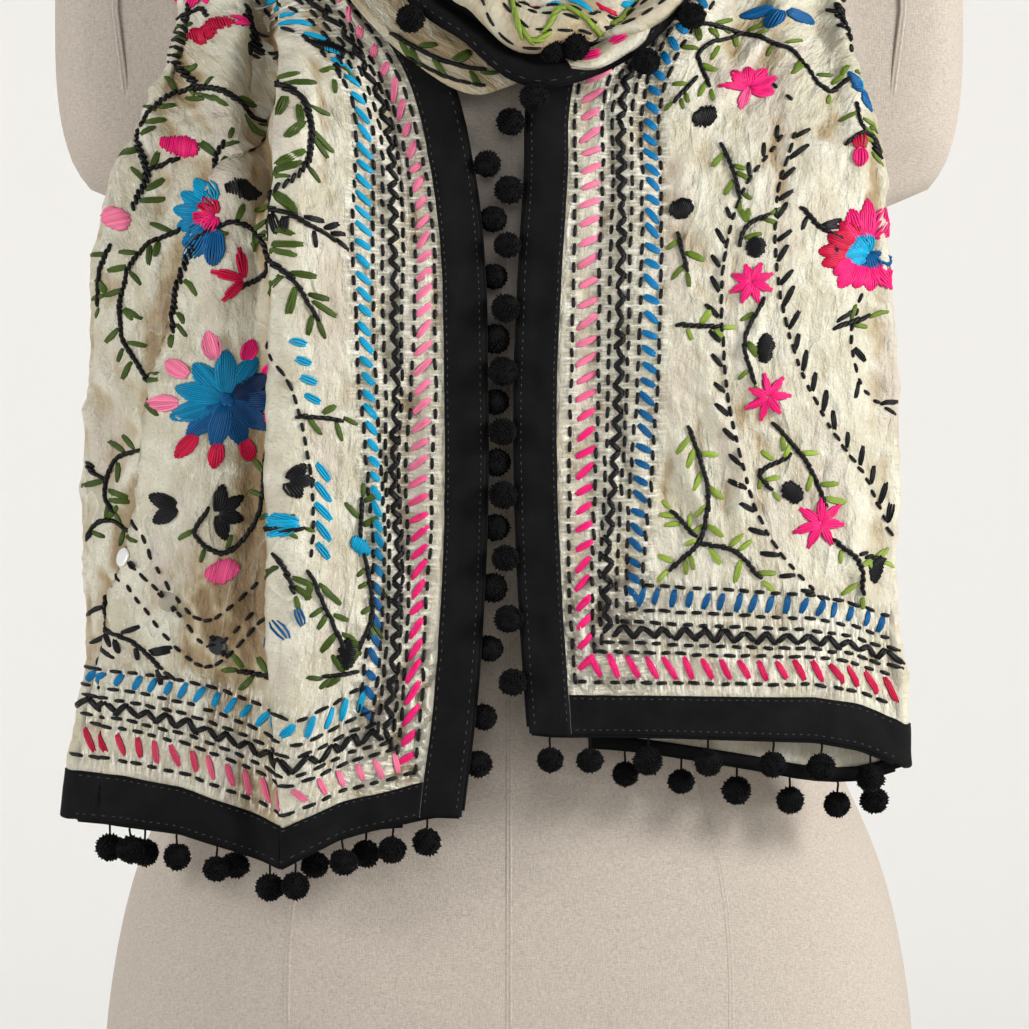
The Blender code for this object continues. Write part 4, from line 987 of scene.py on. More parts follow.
def shell(outer, inner):
    """Points and faces of a closed shell between two grids of the same size."""
    rows, columns = outer.shape[:2]
    points = np.vstack([outer.reshape(-1, 3), inner.reshape(-1, 3)])
    number = np.arange(rows * columns).reshape(rows, columns)
    a, b, c, d = number[:-1, :-1], number[1:, :-1], number[1:, 1:], number[:-1, 1:]
    skin = np.stack([a, b, c, d], axis=-1).reshape(-1, 4)
    rim = np.concatenate([number[0, :], number[1:, -1], number[-1, -2::-1], number[-2:0:-1, 0]])
    after = np.roll(rim, -1)
    below = rows * columns
    edge = np.stack([rim, after, after + below, rim + below], axis=-1)
    faces = [np.concatenate([skin, skin[:, ::-1] + below, edge])]
    if volume(points, faces) < 0:
        faces = [faces[0][:, ::-1]]
    return points, faces


def tube_faces(rows, sides):
    """Quads round a stack of rings, and triangles to the two points that follow its last one."""
    ids = np.arange(rows * sides).reshape(rows, sides)
    after = np.roll(ids, -1, axis=1)
    quads = np.stack([ids[:-1], after[:-1], after[1:], ids[1:]], axis=-1).reshape(-1, 4)
    first, last = np.full(sides, rows * sides), np.full(sides, rows * sides + 1)
    caps = np.concatenate([np.stack([first, after[0], ids[0]], axis=-1),
                           np.stack([last, ids[-1], after[-1]], axis=-1)])
    return quads, caps


def swap_sides(quads, caps):
    """The same faces seen from the other side, each still starting at its first corner."""
    return quads[:, [0, 3, 2, 1]], caps[:, [0, 2, 1]]


def rolled(cloth, line, wide, high):
    """Silk rolled over the front layer: from a turned-under edge on the line, up and back to it.

    At a distance w from the line its height is rise + high * sqrt(1 - (1 - w/r)^2) up to w = r,
    and then falls with a cosine to just under the silk below.
    """
    table = np.array(line, float)
    along = np.linspace(table[0, 0], table[-1, 0], int((table[-1, 0] - table[0, 0]) / ROLL_STEPS[0]))
    low = curve_through(along, table[:, 0], table[:, 1])
    out = np.linspace(0, wide, int(wide / ROLL_STEPS[1]))
    under = np.array(ROLL_UNDER)
    round_off = np.sqrt(np.clip(1 - (1 - out / ROLL_RADIUS) ** 2, 0, 1))
    fall = (1 + np.cos(np.pi * np.clip((out - ROLL_RADIUS) / (wide - ROLL_RADIUS), 0, 1))) / 2
    shape = np.where(out < ROLL_RADIUS, round_off, fall)
    ends = smooth_step((along - along[0]) / ROLL_FADE) * smooth_step((along[-1] - along) / ROLL_FADE)
    wavy = 1 + 0.25 * noise(along / 11.0, 0 * along, 77)
    sunk = ROLL_SINK * smooth_step((out / wide - 0.75) / 0.25)
    heights = ROLL_RISE + high * shape * (ends * wavy)[:, None] - sunk
    heights = heights + 0.5 * noise(along[:, None] / 6.0, out / 3.5, 78) * shape
    v = np.concatenate([low[:, None] + under, low[:, None] + out], axis=1)
    heights = np.concatenate([np.tile(ROLL_UNDER_HEIGHTS, (len(along), 1)), heights], axis=1)
    u = np.broadcast_to(along[:, None], v.shape)
    i, j = grid_places(cloth, u, v)
    below = unit(sample(cloth["normal"], i, j))
    grid = sample(cloth["grid"], i, j) + below * heights[..., None]
    normal = -grid_normals(grid) * cloth["strand"]["hand"]
    if (below * normal).sum() < 0:
        normal = -normal
    # The rolled silk's painted shade in its hollows: 0.56, a little uneven.
    measure = {"u": u, "v": np.broadcast_to(np.concatenate([-under, out]), v.shape),
               "layer": np.zeros(v.shape), "drawn": np.zeros((*v.shape, 3)), "grid": grid, "normal": normal,
               "hollow_shade": 0.56 + 0.14 * noise(along[:, None] / 16.0, v / 9.0, 79)}
    top = slice(len(under), None)
    face = {"base": grid[:, top], "grid": grid[:, top], "normal": normal[:, top], "u": u[:, top],
            "v": np.broadcast_to(out, (len(along), len(out))), "front": len(out),
            "start": np.full(len(out), along[0]), "end": along[-1],
            "span": np.full(len(along), wide), "strand": cloth["strand"]}
    return measure, face


def inside_of_back(cloth):
    """The back layer's side that faces forwards, with its own measure, for stitches where it is bare."""
    behind = slice(cloth["front"] + cloth["turns"], None)
    grid, base, normal, u = (cloth[key][:, behind][:, ::-1] for key in ("grid", "base", "normal", "u"))
    span = cloth["reach"] - cloth["setback"]
    count = grid.shape[1]
    return {"base": base, "grid": grid, "normal": -normal, "u": u,
            "v": np.linspace(0, 1, count) * span[:, None], "front": count,
            "start": cloth["starts"][behind][::-1], "end": cloth["end"], "span": span,
            "strand": cloth["strand"]}


def along_fold(grid):
    """Unit ways across the cloth, from the taped edge towards the fold."""
    return unit(np.gradient(grid, axis=1))


def overlap(x, z, line, reach, lift, throw):
    """A fold lying over its neighbour: height, shift to the viewer's right, and how near its edge.

    With t the distance from the line over reach: height = lift * step(t) fading out beyond,
    shift = -throw * sin(pi t) * (1 + cos(pi t)) / 2.
    """
    table = np.array(line, float)
    order = np.argsort(table[:, 0])
    at, strength = (np.interp(z, table[order, 0], table[order, k]) for k in (1, 2))
    t = np.clip((x - at) / reach, -1, 1)
    beyond = np.clip((x - at) / reach - 1, 0, None)
    height = lift * smooth_step((t + 1) / 2) * np.exp(-(beyond / 3.0) ** 2)
    shift = -throw * np.sin(np.pi * t) * (1 + np.cos(np.pi * t)) / 2
    return strength * height, strength * shift, strength * np.exp(-((t / 0.35) ** 2))


def ridges(u, v, seed, size, stretch):
    """Sharp-crested creases: 1 - |noise|, squared, in cells of size by size * stretch."""
    drift = noise(u / (2.3 * size), v / (2.3 * size), seed + 7) * 0.8
    return (1 - np.abs(noise(v / size + drift, u / (size * stretch), seed))) ** 2


def side_rows(cloth, side):
    """Row k's distance from the tape at places along an end, from its table of heights."""
    table = np.array(SIDE_ROWS[side], float)
    heights, bottom = table[:, 0], cloth["strand"]["rows"][0, 2]

    def distance(k, at):
        return curve_through(np.clip(at + bottom, heights[0], heights[-1]), heights, table[:, k + 1])

    return distance


def bell(away, width):
    """1 at no distance, falling off smoothly on either side over the width."""
    return np.exp(-((away / width) ** 2))


def pucker(cloth, rows):
    """How the rows of dashes draw the silk in: a groove on each row and short creases over it.

    Also keeps, for each place, how far it is from the nearest row, where along, and how drawn.
    """
    u, v = cloth["u"], cloth["v"]
    total, drawn = np.zeros_like(u), np.zeros((*u.shape, 3))
    parts = [(v - TAPE_WIDTH - rows(k, u), u, k) for k in DASHES]
    if cloth["hemmed"]:
        parts += [(u - cloth["starts"] - TAPE_WIDTH - ROWS[k], v, k + 20) for k in DASHES]
    groove, crease, reach = PUCKER_SPREADS
    for near, along, seed in parts:
        total -= PUCKER_DEPTH * bell(near, groove)
        uneven = noise(along / PUCKER_CELL[0], near / PUCKER_CELL[1], seed)
        total += PUCKER_DEPTH * bell(near, crease) * uneven
        pull = bell(near, reach)
        here = np.stack([near * MM, along * MM, pull], axis=-1)
        drawn = np.where((pull > drawn[..., 2])[..., None], here, drawn)
    cloth["drawn"] = drawn * (cloth["layer"] == 0)[..., None]
    return total


def detail(cloth, seed, name):
    """Lays the silk's own creases on the smooth surface, and keeps how much painted shade each place gets in
    its hollows.
    """
    base, u, v = cloth["base"], cloth["u"], cloth["v"]
    hand = cloth["strand"]["hand"]
    normal = grid_normals(base) * hand
    across = -along_fold(base) * hand
    x, z = base[..., 0], base[..., 2]
    in_front = cloth["layer"] == 0
    relief = CRUMPLE[0] * (ridges(u, v, seed, *CRUMPLE_BROAD) - CRUMPLE_MEAN)
    relief += CRUMPLE[1] * (ridges(u, v, seed + 1, *CRUMPLE_SMALL) - CRUMPLE_MEAN)
    relief += CRUMPLE[2] * noise(u / CRUMPLE_FINE[0], v / CRUMPLE_FINE[1], seed + 2)
    rows = side_rows(cloth, name) if name in SIDE_ROWS else (lambda k, at: ROWS[k])
    relief += np.where(in_front, pucker(cloth, rows), 0)
    shift, edges = np.zeros_like(relief), np.zeros_like(relief)
    for fold in OVERLAPS.get(name, ()):
        for total, part in zip((relief, shift, edges), overlap(x, z, *fold)):
            total += np.where(in_front, part, 0)
    for x0, z0, x1, z1, depth, spread_out in TROUGHS.get(name, ()):
        run_x, run_z = x1 - x0, z1 - z0
        share = np.clip(((x - x0) * run_x + (z - z0) * run_z) / (run_x**2 + run_z**2), 0, 1)
        away = np.hypot(x - x0 - share * run_x, (z - z0 - share * run_z) / 2)
        relief += np.where(in_front, depth * bell(away, spread_out), 0)
    edge_distance = v - TAPE_WIDTH
    if cloth["hemmed"]:
        edge_distance = np.minimum(edge_distance, u - cloth["starts"] - TAPE_WIDTH)
    calm = CALM_LEAST + (1 - CALM_LEAST) * smooth_step((edge_distance + CALM_BEFORE) / CALM_FADE)
    relief = relief * calm
    grid = base + normal * relief[..., None] + across * shift[..., None]
    cloth["grid"] = grid
    cloth["normal"] = grid_normals(grid) * hand
    # Painted shade in the hollows: more where the surface lies below its smoothed self, under a fold's edge,
    # on the back layer and in the listed patches.
    smooth = relief.copy()
    for _ in range(HOLLOW_ROUNDS):
        smooth[1:-1, 1:-1] = (smooth[2:, 1:-1] + smooth[:-2, 1:-1] + smooth[1:-1, 2:] + smooth[1:-1, :-2]) / 4
    hollow_shade = HOLLOW + np.clip((smooth - relief) * HOLLOW_DEEP, -HOLLOW_MOST, HOLLOW_MOST)
    hollow_shade = hollow_shade + HOLLOW_UNEVEN * noise(u / 40.0, v / 26.0, seed + 3)
    hollow_shade = hollow_shade + np.where(in_front, HOLLOW_EDGE * edges, HOLLOW_BEHIND.get(name, HOLLOW_PLAIN))
    for x0, z0, wide, tall, deep in SHADES.get(name, ()):
        hollow_shade = hollow_shade + deep * np.exp(-(((x - x0) / wide) ** 2) - ((z - z0) / tall) ** 2) * in_front
    cloth["hollow_shade"] = np.clip(hollow_shade, 0, 1)
    return cloth


def add_cloth(name, cloth, finish):
    """Silk as a closed thin shell, with its own lengthwise and crosswise measure."""
    grid, normal = cloth["grid"], cloth["normal"]
    points, faces = shell(grid + normal * CLOTH_THICK / 2, grid - normal * CLOTH_THICK / 2)
    measure = np.stack([cloth["v"] * MM, cloth["u"] * MM, cloth["layer"]], axis=-1).reshape(-1, 3)
    hollow_shade = cloth["hollow_shade"].ravel()
    drawn = cloth["drawn"].reshape(-1, 3)
    return mesh_object(name, points, faces, finish, {
        "measure": ("FLOAT_VECTOR", np.vstack([measure, measure])),
        "drawn": ("FLOAT_VECTOR", np.vstack([drawn, drawn])),
        "hollow_shade": ("FLOAT", np.concatenate([hollow_shade, hollow_shade]))})


def silk_material():
    """Ivory silk: a fine crumple with short slubs under painted highlights, painted golden shade in its
    hollows, thin painted highlight and shadow lines along its creases, and little tucks across the rows where
    the dashes draw it in, with painted shade and highlight on them."""
    silk = Finish("silk", SILK_PALE[:3], 0.46, 0.4)
    measure, drawn = silk.given("measure")["Vector"], silk.given("drawn")["Vector"]
    crepe, slub, cloudy, crease, rough, ragged, rosy = (silk.streaks(measure, *row) for row in SILK_GRAIN)
    tucks = silk.streaks(drawn, (150.0, 760.0, 0.0))
    pull = silk.node("SeparateXYZ", {"Vector": drawn})["Z"]
    colour = silk.blend(silk.ramp(cloudy, 0.40, 0.62), SILK_CREAM, SILK_PALE)
    colour = silk.blend(silk.ramp(crepe, 0.54, 0.72, 0.55), colour, SILK_GREY_AND_SHADE)
    # Painted highlights on the slubs.
    colour = silk.blend(silk.ramp(slub, 0.60, 0.70, 0.6), colour, SILK_WHITE_HIGHLIGHT)
    colour = silk.blend(silk.ramp(rosy, 0.50, 0.66, 0.5), colour, SILK_ROSE)
    # Painted golden shade in the hollows, then deep brown painted shade in the deepest of them.
    sunk = silk.sum_of("ADD", silk.given("hollow_shade")["Fac"], silk.sum_of("MULTIPLY_ADD", ragged, 0.7, -0.35))
    colour = silk.blend(silk.ramp(sunk, 0.44, 0.70, 0.85), colour, SILK_GOLDEN_SHADE)
    colour = silk.blend(silk.ramp(sunk, 0.66, 0.92, 0.8), colour, SILK_DEEP_SHADE)
    # Thin painted lines along the creases: a painted shadow on one side of the noise's middle, a painted
    # highlight on the other.
    off = silk.sum_of("SUBTRACT", crease, 0.5)
    for outer, inner, tone in (((-0.030, -0.004, 0.35), (0.0, -0.002), SILK_GREY_AND_SHADE),
                               ((0.0, 0.002, 0.2), (0.008, 0.005), SILK_WHITE_HIGHLIGHT)):
        line = silk.sum_of("MULTIPLY", silk.ramp(off, *outer), silk.ramp(off, *inner))
        colour = silk.blend(line, colour, tone)
    # Painted shade and painted highlight on the little tucks where the dashes draw the silk in.
    for span, tone in (((0.52, 0.60, 0.8), SILK_GREY_AND_SHADE), ((0.46, 0.40, 0.9), SILK_WHITE_HIGHLIGHT)):
        colour = silk.blend(silk.sum_of("MULTIPLY", silk.ramp(tucks, *span), pull), colour, tone)
    normal = silk.bump(silk.sum_of("ADD", crepe, slub), 0.0004, 0.9)
    normal = silk.bump(rough, 0.0022, 1.0, normal)
    normal = silk.bump(silk.ramp(silk.sum_of("ABSOLUTE", off), 0.04, 0.0), 0.0005, 0.7, normal)
    normal = silk.bump(silk.sum_of("MULTIPLY", tucks, pull), 0.0014, 0.9, normal)
    return silk.paint(colour, normal)


class Needle:
    """Gathers the stitches of one stretch of cloth: where each runs and how it looks.

    A stitch is a row: from and to, in one of two flat measures, then bow, half width, height,
    lift and colour. The measure is "view" for X and height in the front view, and "run" for u, v.
    """

    def __init__(self, cloth, seed):
        self.cloth = cloth
        self.rows = {"view": [], "run": []}
        self.random = np.random.default_rng(seed)

    def sew(self, starts, ends, tone, half=0.6, high=0.5, bow=0.0, lift=0.0, measure="view", vary=0.12,
            anchor=None):
        """Adds stitches from starts to ends. tone, half, bow and lift are one value or one each.

        anchor is the place in the front view from which the stitch is measured out on the cloth.
        """
        starts, ends = np.atleast_2d(starts).astype(float), np.atleast_2d(ends).astype(float)
        count = len(starts)

        def for_each(value, wide):
            return np.broadcast_to(np.asarray(value, float), (count, wide))

        tone = for_each(tone, 3) * (1 + vary * self.random.uniform(-1, 1, (count, 1)))
        others = [np.broadcast_to(np.asarray(value, float), count)[:, None]
                  for value in (bow, half, high, lift)]
        anchor = (starts + ends) / 2 if anchor is None else for_each(anchor, 2)
        self.rows[measure].append(np.hstack([starts, ends, *others, tone, anchor]))

    def bundle(self, starts, ends, tone, fat, strands, half=0.55, high=0.5, lift=0.0, measure="view"):
        """Each stitch as a lozenge of strands that share their ends."""
        offsets = np.linspace(-1, 1, strands)
        starts, ends = np.atleast_2d(starts).astype(float), np.atleast_2d(ends).astype(float)
        fat = np.broadcast_to(np.asarray(fat, float), len(starts))
        way = unit(ends - starts)
        across = np.stack([-way[:, 1], way[:, 0]], axis=-1)
        tone = np.broadcast_to(np.asarray(tone, float), (len(starts), 3))
        for offset in offsets:
            nudge = across * (0.5 * offset * fat)[:, None]
            slack = way * self.random.uniform(-0.35, 0.35, (len(starts), 1))
            self.sew(starts + nudge + slack, ends + nudge + slack, tone, half,
                     high * (1.15 - 0.3 * abs(offset)), 0.5 * offset * fat, lift, measure,
                     anchor=(starts + ends) / 2)

    def vine(self, line, tone=BLACK, half=0.94, step=2.6, length=4.8, measure="view"):
        """Stem stitch: short stitches that overlap, each leaning a little across the line."""
        points, way = even_steps(line, step)
        across = np.stack([-way[:, 1], way[:, 0]], axis=-1)
        shake = self.random.uniform(-0.25, 0.25, (len(points), 2))
        start = points - way * length / 2 - across * 0.5 + shake
        self.sew(start, points + way * length / 2 + across * 0.5 + shake, tone, half, 0.95,
                 measure=measure)

    def dashes(self, line, tone=BLACK, pitch=5.9, length=4.4, half=0.85, measure="view"):
        points, way = even_steps(line, pitch)
        reach = way * (length / 2 + self.random.uniform(-0.5, 0.4, (len(points), 1)))
        self.sew(points - reach, points + reach, tone, half, 0.55, measure=measure)

    def leaves(self, ends, tone, fat=1.0, strands=4, measure="view"):
        rows = np.atleast_2d(np.array(ends, float))
        shades = np.array(tone) * self.random.uniform(0.75, 1.35, (len(rows), 1))
        length = np.linalg.norm(rows[:, 2:] - rows[:, :2], axis=1)
        self.bundle(rows[:, :2], rows[:, 2:], shades, 0.85 * fat * np.clip(length / 9, 0.5, 1.1),
                    strands, 0.54, measure=measure)

    def side_shoots(self, places, side, long, spacing, spread):
        """Ends of the stitches that grow forward from a line: in turn on either side, or on one."""
        points, way = even_steps(places, spacing)
        count = len(points)
        sign = np.where(np.arange(count) % 2, 1, -1) if side == 0 else np.full(count, side)
        lean = np.radians(self.random.uniform(*spread, count)) * sign
        turned = np.stack([way[:, 0] * np.cos(lean) - way[:, 1] * np.sin(lean),
                           way[:, 0] * np.sin(lean) + way[:, 1] * np.cos(lean)], axis=-1)
        base = points + turned * 1.3
        return np.hstack([base, base + turned * long * self.random.uniform(0.72, 1.18, (count, 1))])

    def spray(self, places, tone, long, spacing, measure="view"):
        """A stem with leaves in turn on either side, now and then a pair, and one at its tip."""
        self.vine(places, measure=measure)
        if tone is None:
            return
        self.leaves(self.side_shoots(places, 0, long, spacing, (34, 66)), tone, measure=measure)
        self.leaves(self.side_shoots(places[::-1], 0, long, spacing * 2.1, (112, 145)), tone, measure=measure)
        tip, before = np.array(places[-1], float), np.array(places[-2], float)
        way = unit(tip - before)
        self.leaves(np.hstack([tip + way, tip + way * long * 0.9]), tone, measure=measure)

    def fern(self, places, side, long, spacing, measure="view"):
        self.dashes(places, measure=measure)
        if side is not None:
            self.leaves(self.side_shoots(places, side, long, spacing, (28, 52)), BLACK, 0.9, 3, measure)

    def ladder(self, first, last, count, long, lean, tone, measure="view"):
        """Bars across the way from first to last, all leaning the same."""
        share = np.linspace(0, 1, count)[:, None]
        middle = np.array(first, float) * (1 - share) + np.array(last, float) * share
        turn = np.radians(lean + self.random.uniform(-9, 9, count))
        way = np.stack([np.cos(turn), np.sin(turn)], axis=-1)
        reach = way * long / 2 * self.random.uniform(0.85, 1.12, (count, 1))
        self.bundle(middle - reach, middle + reach, tone, 1.25, 3, measure=measure)

    def garland(self, first, last, middle, swing, tones):
        """A wavy stem along the cloth with flowers where it turns: place = middle + swing sin."""
        run = np.arange(first, last, 9.0)
        turn = np.sin((run - first) / 30.0 + 0.6)
        places = np.stack([run, middle + swing * 0.55 * turn], axis=-1)
        self.spray(places, OLIVE, 8.5, 8.5, "run")
        for k, at in enumerate(np.arange(first + 20.0, last - 14.0, GARLAND_PITCH)):
            tone = np.array(tones[k % len(tones)])
            x, y = at, middle - swing * 0.75 * np.sin((at - first) / 30.0 + 0.6)
            if k % 3 == 2:
                self.satin(x, y, 6.5, 5.0, 60, 0, tone, "run")
            else:
                self.flower(x, y, 1.5, 12.5 - 2.0 * (k % 2), 10, 370, 8, 6.5, tone, tone, "run")

    def petal(self, x, z, angle, near, far, width, tone, lift=0.0, measure="view"):
        """A fan of threads from near the flower's middle to a rounded tip.

        The thread at share w of the width ends at far (1 - fall w^2), and bows outwards.
        """
        w = np.linspace(-1, 1, max(4, int(round(PETAL_THREADS * width))))
        turn = np.radians(angle)
        way, across = np.array([np.cos(turn), np.sin(turn)]), np.array([-np.sin(turn), np.cos(turn)])
        middle = np.array([x, z])
        start = middle + np.outer(near + 0 * w, way) + np.outer(PETAL_ROOT * w * width / 2, across)
        reach = near + (far - near) * (1 - PETAL_FALL * w**2)
        end = middle + np.outer(reach, way) + np.outer(w * width / 2 * PETAL_TIP, across)
        self.sew(start, end, tone, 0.68, 0.66, w * width * PETAL_BOW, lift, measure, PETAL_VARY, (x, z))

    def flower(self, x, z, near, far, first, last, petals, width, tone, last_tone, measure="view"):
        angles = np.linspace(first, last, petals + (last - first >= 360))[:petals]
        for k, angle in enumerate(angles):
            share = k / max(petals - 1, 1)
            shade = np.array(tone) * (1 - share) + np.array(last_tone) * share
            long = far * self.random.uniform(0.93, 1.07)
            self.petal(x, z, angle, near, long, width, shade, 0.25 * (k % 2), measure)

    def satin(self, x, z, wide, tall, lean, turn, tone, measure="view"):
        """Close threads across an oval, each as long as the oval is there, with uneven ends."""
        slope, tip = np.radians(lean), np.radians(turn)
        way, across = np.array([np.cos(slope), np.sin(slope)]), np.array([-np.sin(slope), np.cos(slope)])
        turned = np.array([[np.cos(tip), np.sin(tip)], [-np.sin(tip), np.cos(tip)]])
        axes = turned / np.array([[wide], [tall]])
        a, b = axes @ way, axes @ across
        reach = 1 / np.sqrt(b @ b - (a @ b) ** 2 / (a @ a))
        at = np.arange(-reach + 0.3, reach, SATIN_PITCH)
        middle = -(a @ b) / (a @ a) * at
        half = np.sqrt(np.clip((a @ b) ** 2 * at**2 - (a @ a) * ((b @ b) * at**2 - 1), 0, None)) / (a @ a)
        half = half + self.random.uniform(*SATIN_RAGGED, len(at))
        centre = np.array([x, z]) + np.outer(at, across)
        self.sew(centre + np.outer(middle - half, way), centre + np.outer(middle + half, way), tone,
                 0.58, 0.75, 0.0, 0.1, measure, SATIN_VARY, (x, z))

    def border(self, run, flip, pink, blue, hem=None, rows=None, turns=None):
        """The border's rows beside the tape, from run[0] to run[1].

        flip is -1 where the front view shows the tape on the right. With hem, the rows follow the
        hem instead: run is then measured across the cloth and the rows count from the hem. rows
        gives row k's distance at places along, and turns where the tones change.
        """
        rows = rows or (lambda k, at: np.full(np.shape(at), ROWS[k]))

        def place(length, away):
            if hem is None:
                return np.stack([length, away], axis=-1)
            return np.stack([hem(length) + away, length], axis=-1)

        def line(k, pitch):
            low, high = run(k) if callable(run) else run
            at = np.arange(low + pitch / 2, high, pitch)
            at = at + self.random.uniform(-0.35, 0.35, len(at))
            return at, rows(k, at) + TAPE_WIDTH + self.random.uniform(-0.25, 0.25, len(at)), (low, high)

        for k in DASHES:
            at, away, _ = line(k, DASH_PITCH)
            slack = self.random.uniform(*DASH_REACH, len(at))
            drift = self.random.uniform(-0.3, 0.3, len(at))
            self.sew(place(at - slack, away - drift), place(at + slack, away + drift), BLACK, 0.9, 0.6,
                     measure="run")
        for (k, rise, pitch, turn), tones in zip(SLANTS, (pink, blue)):
            at, away, (low_at, high_at) = line(k, pitch)
            between = rows(k + 1, at) - rows(k - 1, at)
            span = 0.37 * between * self.random.uniform(0.86, 1.1, len(at))
            tilt = (rise + 0.22 * (11.0 - between)) * self.random.uniform(0.6, 1.3, len(at)) * flip * turn
            if hem is not None:
                tilt = -tilt * 0.85
            low, high = tones
            share = (at - low_at) / (high_at - low_at)
            if turns is not None:
                share = 0.5 + (at - turns[0 if k == PINK else 1]) / 40.0
            share = smooth_step(share + self.random.uniform(-0.08, 0.08, len(at)))[:, None]
            shade = np.array(low) * (1 - share) + np.array(high) * share
            self.bundle(place(at - tilt, away - span), place(at + tilt, away + span), shade,
                        1.0, 4, 0.52, 0.62, measure="run")
        pitch, widest = ZIGZAG_SIDE if hem is None else ZIGZAG_HEM
        at, away, _ = line(ZIGZAG, pitch)
        for sign in (1, -1):
            near = at + (pitch / 2 if sign < 0 else 0)
            swing = widest + self.random.uniform(-0.7, 0.7, len(at))
            lag = self.random.uniform(-0.8, 0.8, len(at))
            for nudge in (-ZIGZAG_PAIR, ZIGZAG_PAIR):
                self.sew(place(near - pitch / 4 + nudge, away - sign * swing),
                         place(near + pitch / 4 + nudge + lag, away + sign * swing),
                         BLACK, 0.92, 0.85, measure="run")


def even_steps(line, step):
    """Points at even steps along a smooth line through the given places, and the way there."""
    line = np.array(line, float)
    run = run_length(line)
    count = max(int(run[-1] / step), 1)
    at = (np.arange(count) + 0.5) * run[-1] / count
    if len(line) == 2:
        whole = line[1] - line[0]
        return line[0] + whole * (at / run[-1])[:, None], unit(np.tile(whole, (count, 1)))
    behind, points, ahead = (curve_through(at + shift, run, line) for shift in (-0.5, 0.0, 0.5))
    return points, unit(ahead - behind)


def crossed(first, second):
    """The sine of the turn from the first flat way to the second, times both lengths."""
    return first[..., 0] * second[..., 1] - first[..., 1] * second[..., 0]


def add_threads(name, needle, finish):
    """All the stitches of one stretch as one object: each a five-sided thread on the silk.

    A stitch of the front view is measured out on the cloth from its anchor, along the ways that
    u and v have there. Where those ways are nearly square to each other in the view their true
    crossing is used, and where the view squeezes them together the plain shares along each.
    Along a stitch t runs from 0 to 1: place = from + (to - from) t + across * bow * 4 t (1 - t),
    and its height over the silk follows ARCH.
    """
    cloth = needle.cloth
    all_points, all_faces, all_tones, count = [], [], [], 0
    for measure, groups in needle.rows.items():
        if not groups:
            continue
        rows = np.vstack(groups)
        start, end = rows[:, :2], rows[:, 2:4]
        bow, half, high, lift = (rows[:, k] for k in (4, 5, 6, 7))
        tone = rows[:, 8:11]
        run = end - start
        across = np.stack([-run[:, 1], run[:, 0]], axis=-1)
        across = unit(across)
        t = ARCH[:, 0]
        flat = (start[:, None] + run[:, None] * t[:, None]
                + across[:, None] * (bow[:, None] * 4 * t * (1 - t))[..., None])
        first, second = flat[..., 0].ravel(), flat[..., 1].ravel()
        if measure == "view":
            anchor = rows[:, 11:13]
            i, j = front_places(cloth, anchor[:, 0], anchor[:, 1])
            home = sample(np.stack([cloth["u"], cloth["v"]], axis=-1), i, j)
            view = cloth["base"][..., [0, 2]]
            along = unit(sample(view, i + 1, j) - sample(view, i - 1, j))[:, None]
            over = unit(sample(view, i, j + 1) - sample(view, i, j - 1))[:, None]
            far = flat - anchor[:, None]
            turn = crossed(along, over)
            open_share = np.clip((abs(turn) - SKEW_FROM) / SKEW_FADE, 0, 1)
            turn = np.where(turn < 0, -1, 1) * np.clip(abs(turn), SKEW_LEAST, 1)
            first = open_share * crossed(far, over) / turn + (1 - open_share) * (far * along).sum(-1)
            second = open_share * crossed(along, far) / turn + (1 - open_share) * (far * over).sum(-1)
            first, second = (home[:, None, 0] + first).ravel(), (home[:, None, 1] + second).ravel()
        i, j = grid_places(cloth, first, second)
        shape = flat.shape[:2]
        spot = sample(cloth["grid"], i, j).reshape(*shape, 3)
        normal = unit(sample(cloth["normal"], i, j)).reshape(*shape, 3)
        centre = spot + normal * (CLOTH_THICK / 2 + lift[:, None] + high[:, None] * ARCH[:, 2])[..., None]
        way = unit(np.gradient(centre, axis=1))
        side = unit(np.cross(normal, way))
        wide = half[:, None] * ARCH[:, 1]
        out = (wide[:, 1:-1, None] * THREAD_RING[:, 0])[..., None]
        up = (half * 0.5 + high * 0.5)[:, None, None] * THREAD_RING[:, 1] * ARCH[1:-1, 1][:, None]
        ring = (centre[:, 1:-1, None] + side[:, 1:-1, None] * out
                + normal[:, 1:-1, None] * up[..., None])
        stations, sides = ring.shape[1:3]
        number = len(rows)
        each = stations * sides + 2
        points = np.concatenate([ring.reshape(number, -1, 3), centre[:, :1], centre[:, -1:]], axis=1)
        quads, caps = swap_sides(*tube_faces(stations, sides))
        offset = count + np.arange(number)[:, None, None] * each
        quads, caps = (quads + offset).reshape(-1, 4), (caps + offset).reshape(-1, 3)
        # Painted shade round each thread: its tone darker on the sides and at the ends than on top.
        shade = np.concatenate([np.tile(THREAD_RING[:, 2], stations), [0.6, 0.6]])
        tones = tone[:, None] * shade[:, None]
        all_points.append(points.reshape(-1, 3))
        all_faces += [quads, caps]
        all_tones.append(np.concatenate([tones, np.ones((*tones.shape[:2], 1))], axis=-1).reshape(-1, 4))
        count += number * each
    points = np.vstack(all_points)
    if volume(points, all_faces) < 0:
        all_faces = [group[:, ::-1] for group in all_faces]
    return mesh_object(name, points, all_faces, finish, {"tone": ("FLOAT_COLOR", np.vstack(all_tones))})


def thread_material():
    """Stranded cotton: each thread's own colour, with painted shade on its sides, and fine twisted strands.
    """
    cotton = Finish("thread", (0.5, 0.5, 0.5), 0.42, 0.22)
    fuzz = cotton.node("TexNoise", {"Vector": cotton.place(), "Scale": 1800.0, "Detail": 2.0})["Fac"]
    return cotton.paint(cotton.given("tone")["Color"], cotton.bump(fuzz, 0.0003, 0.45))


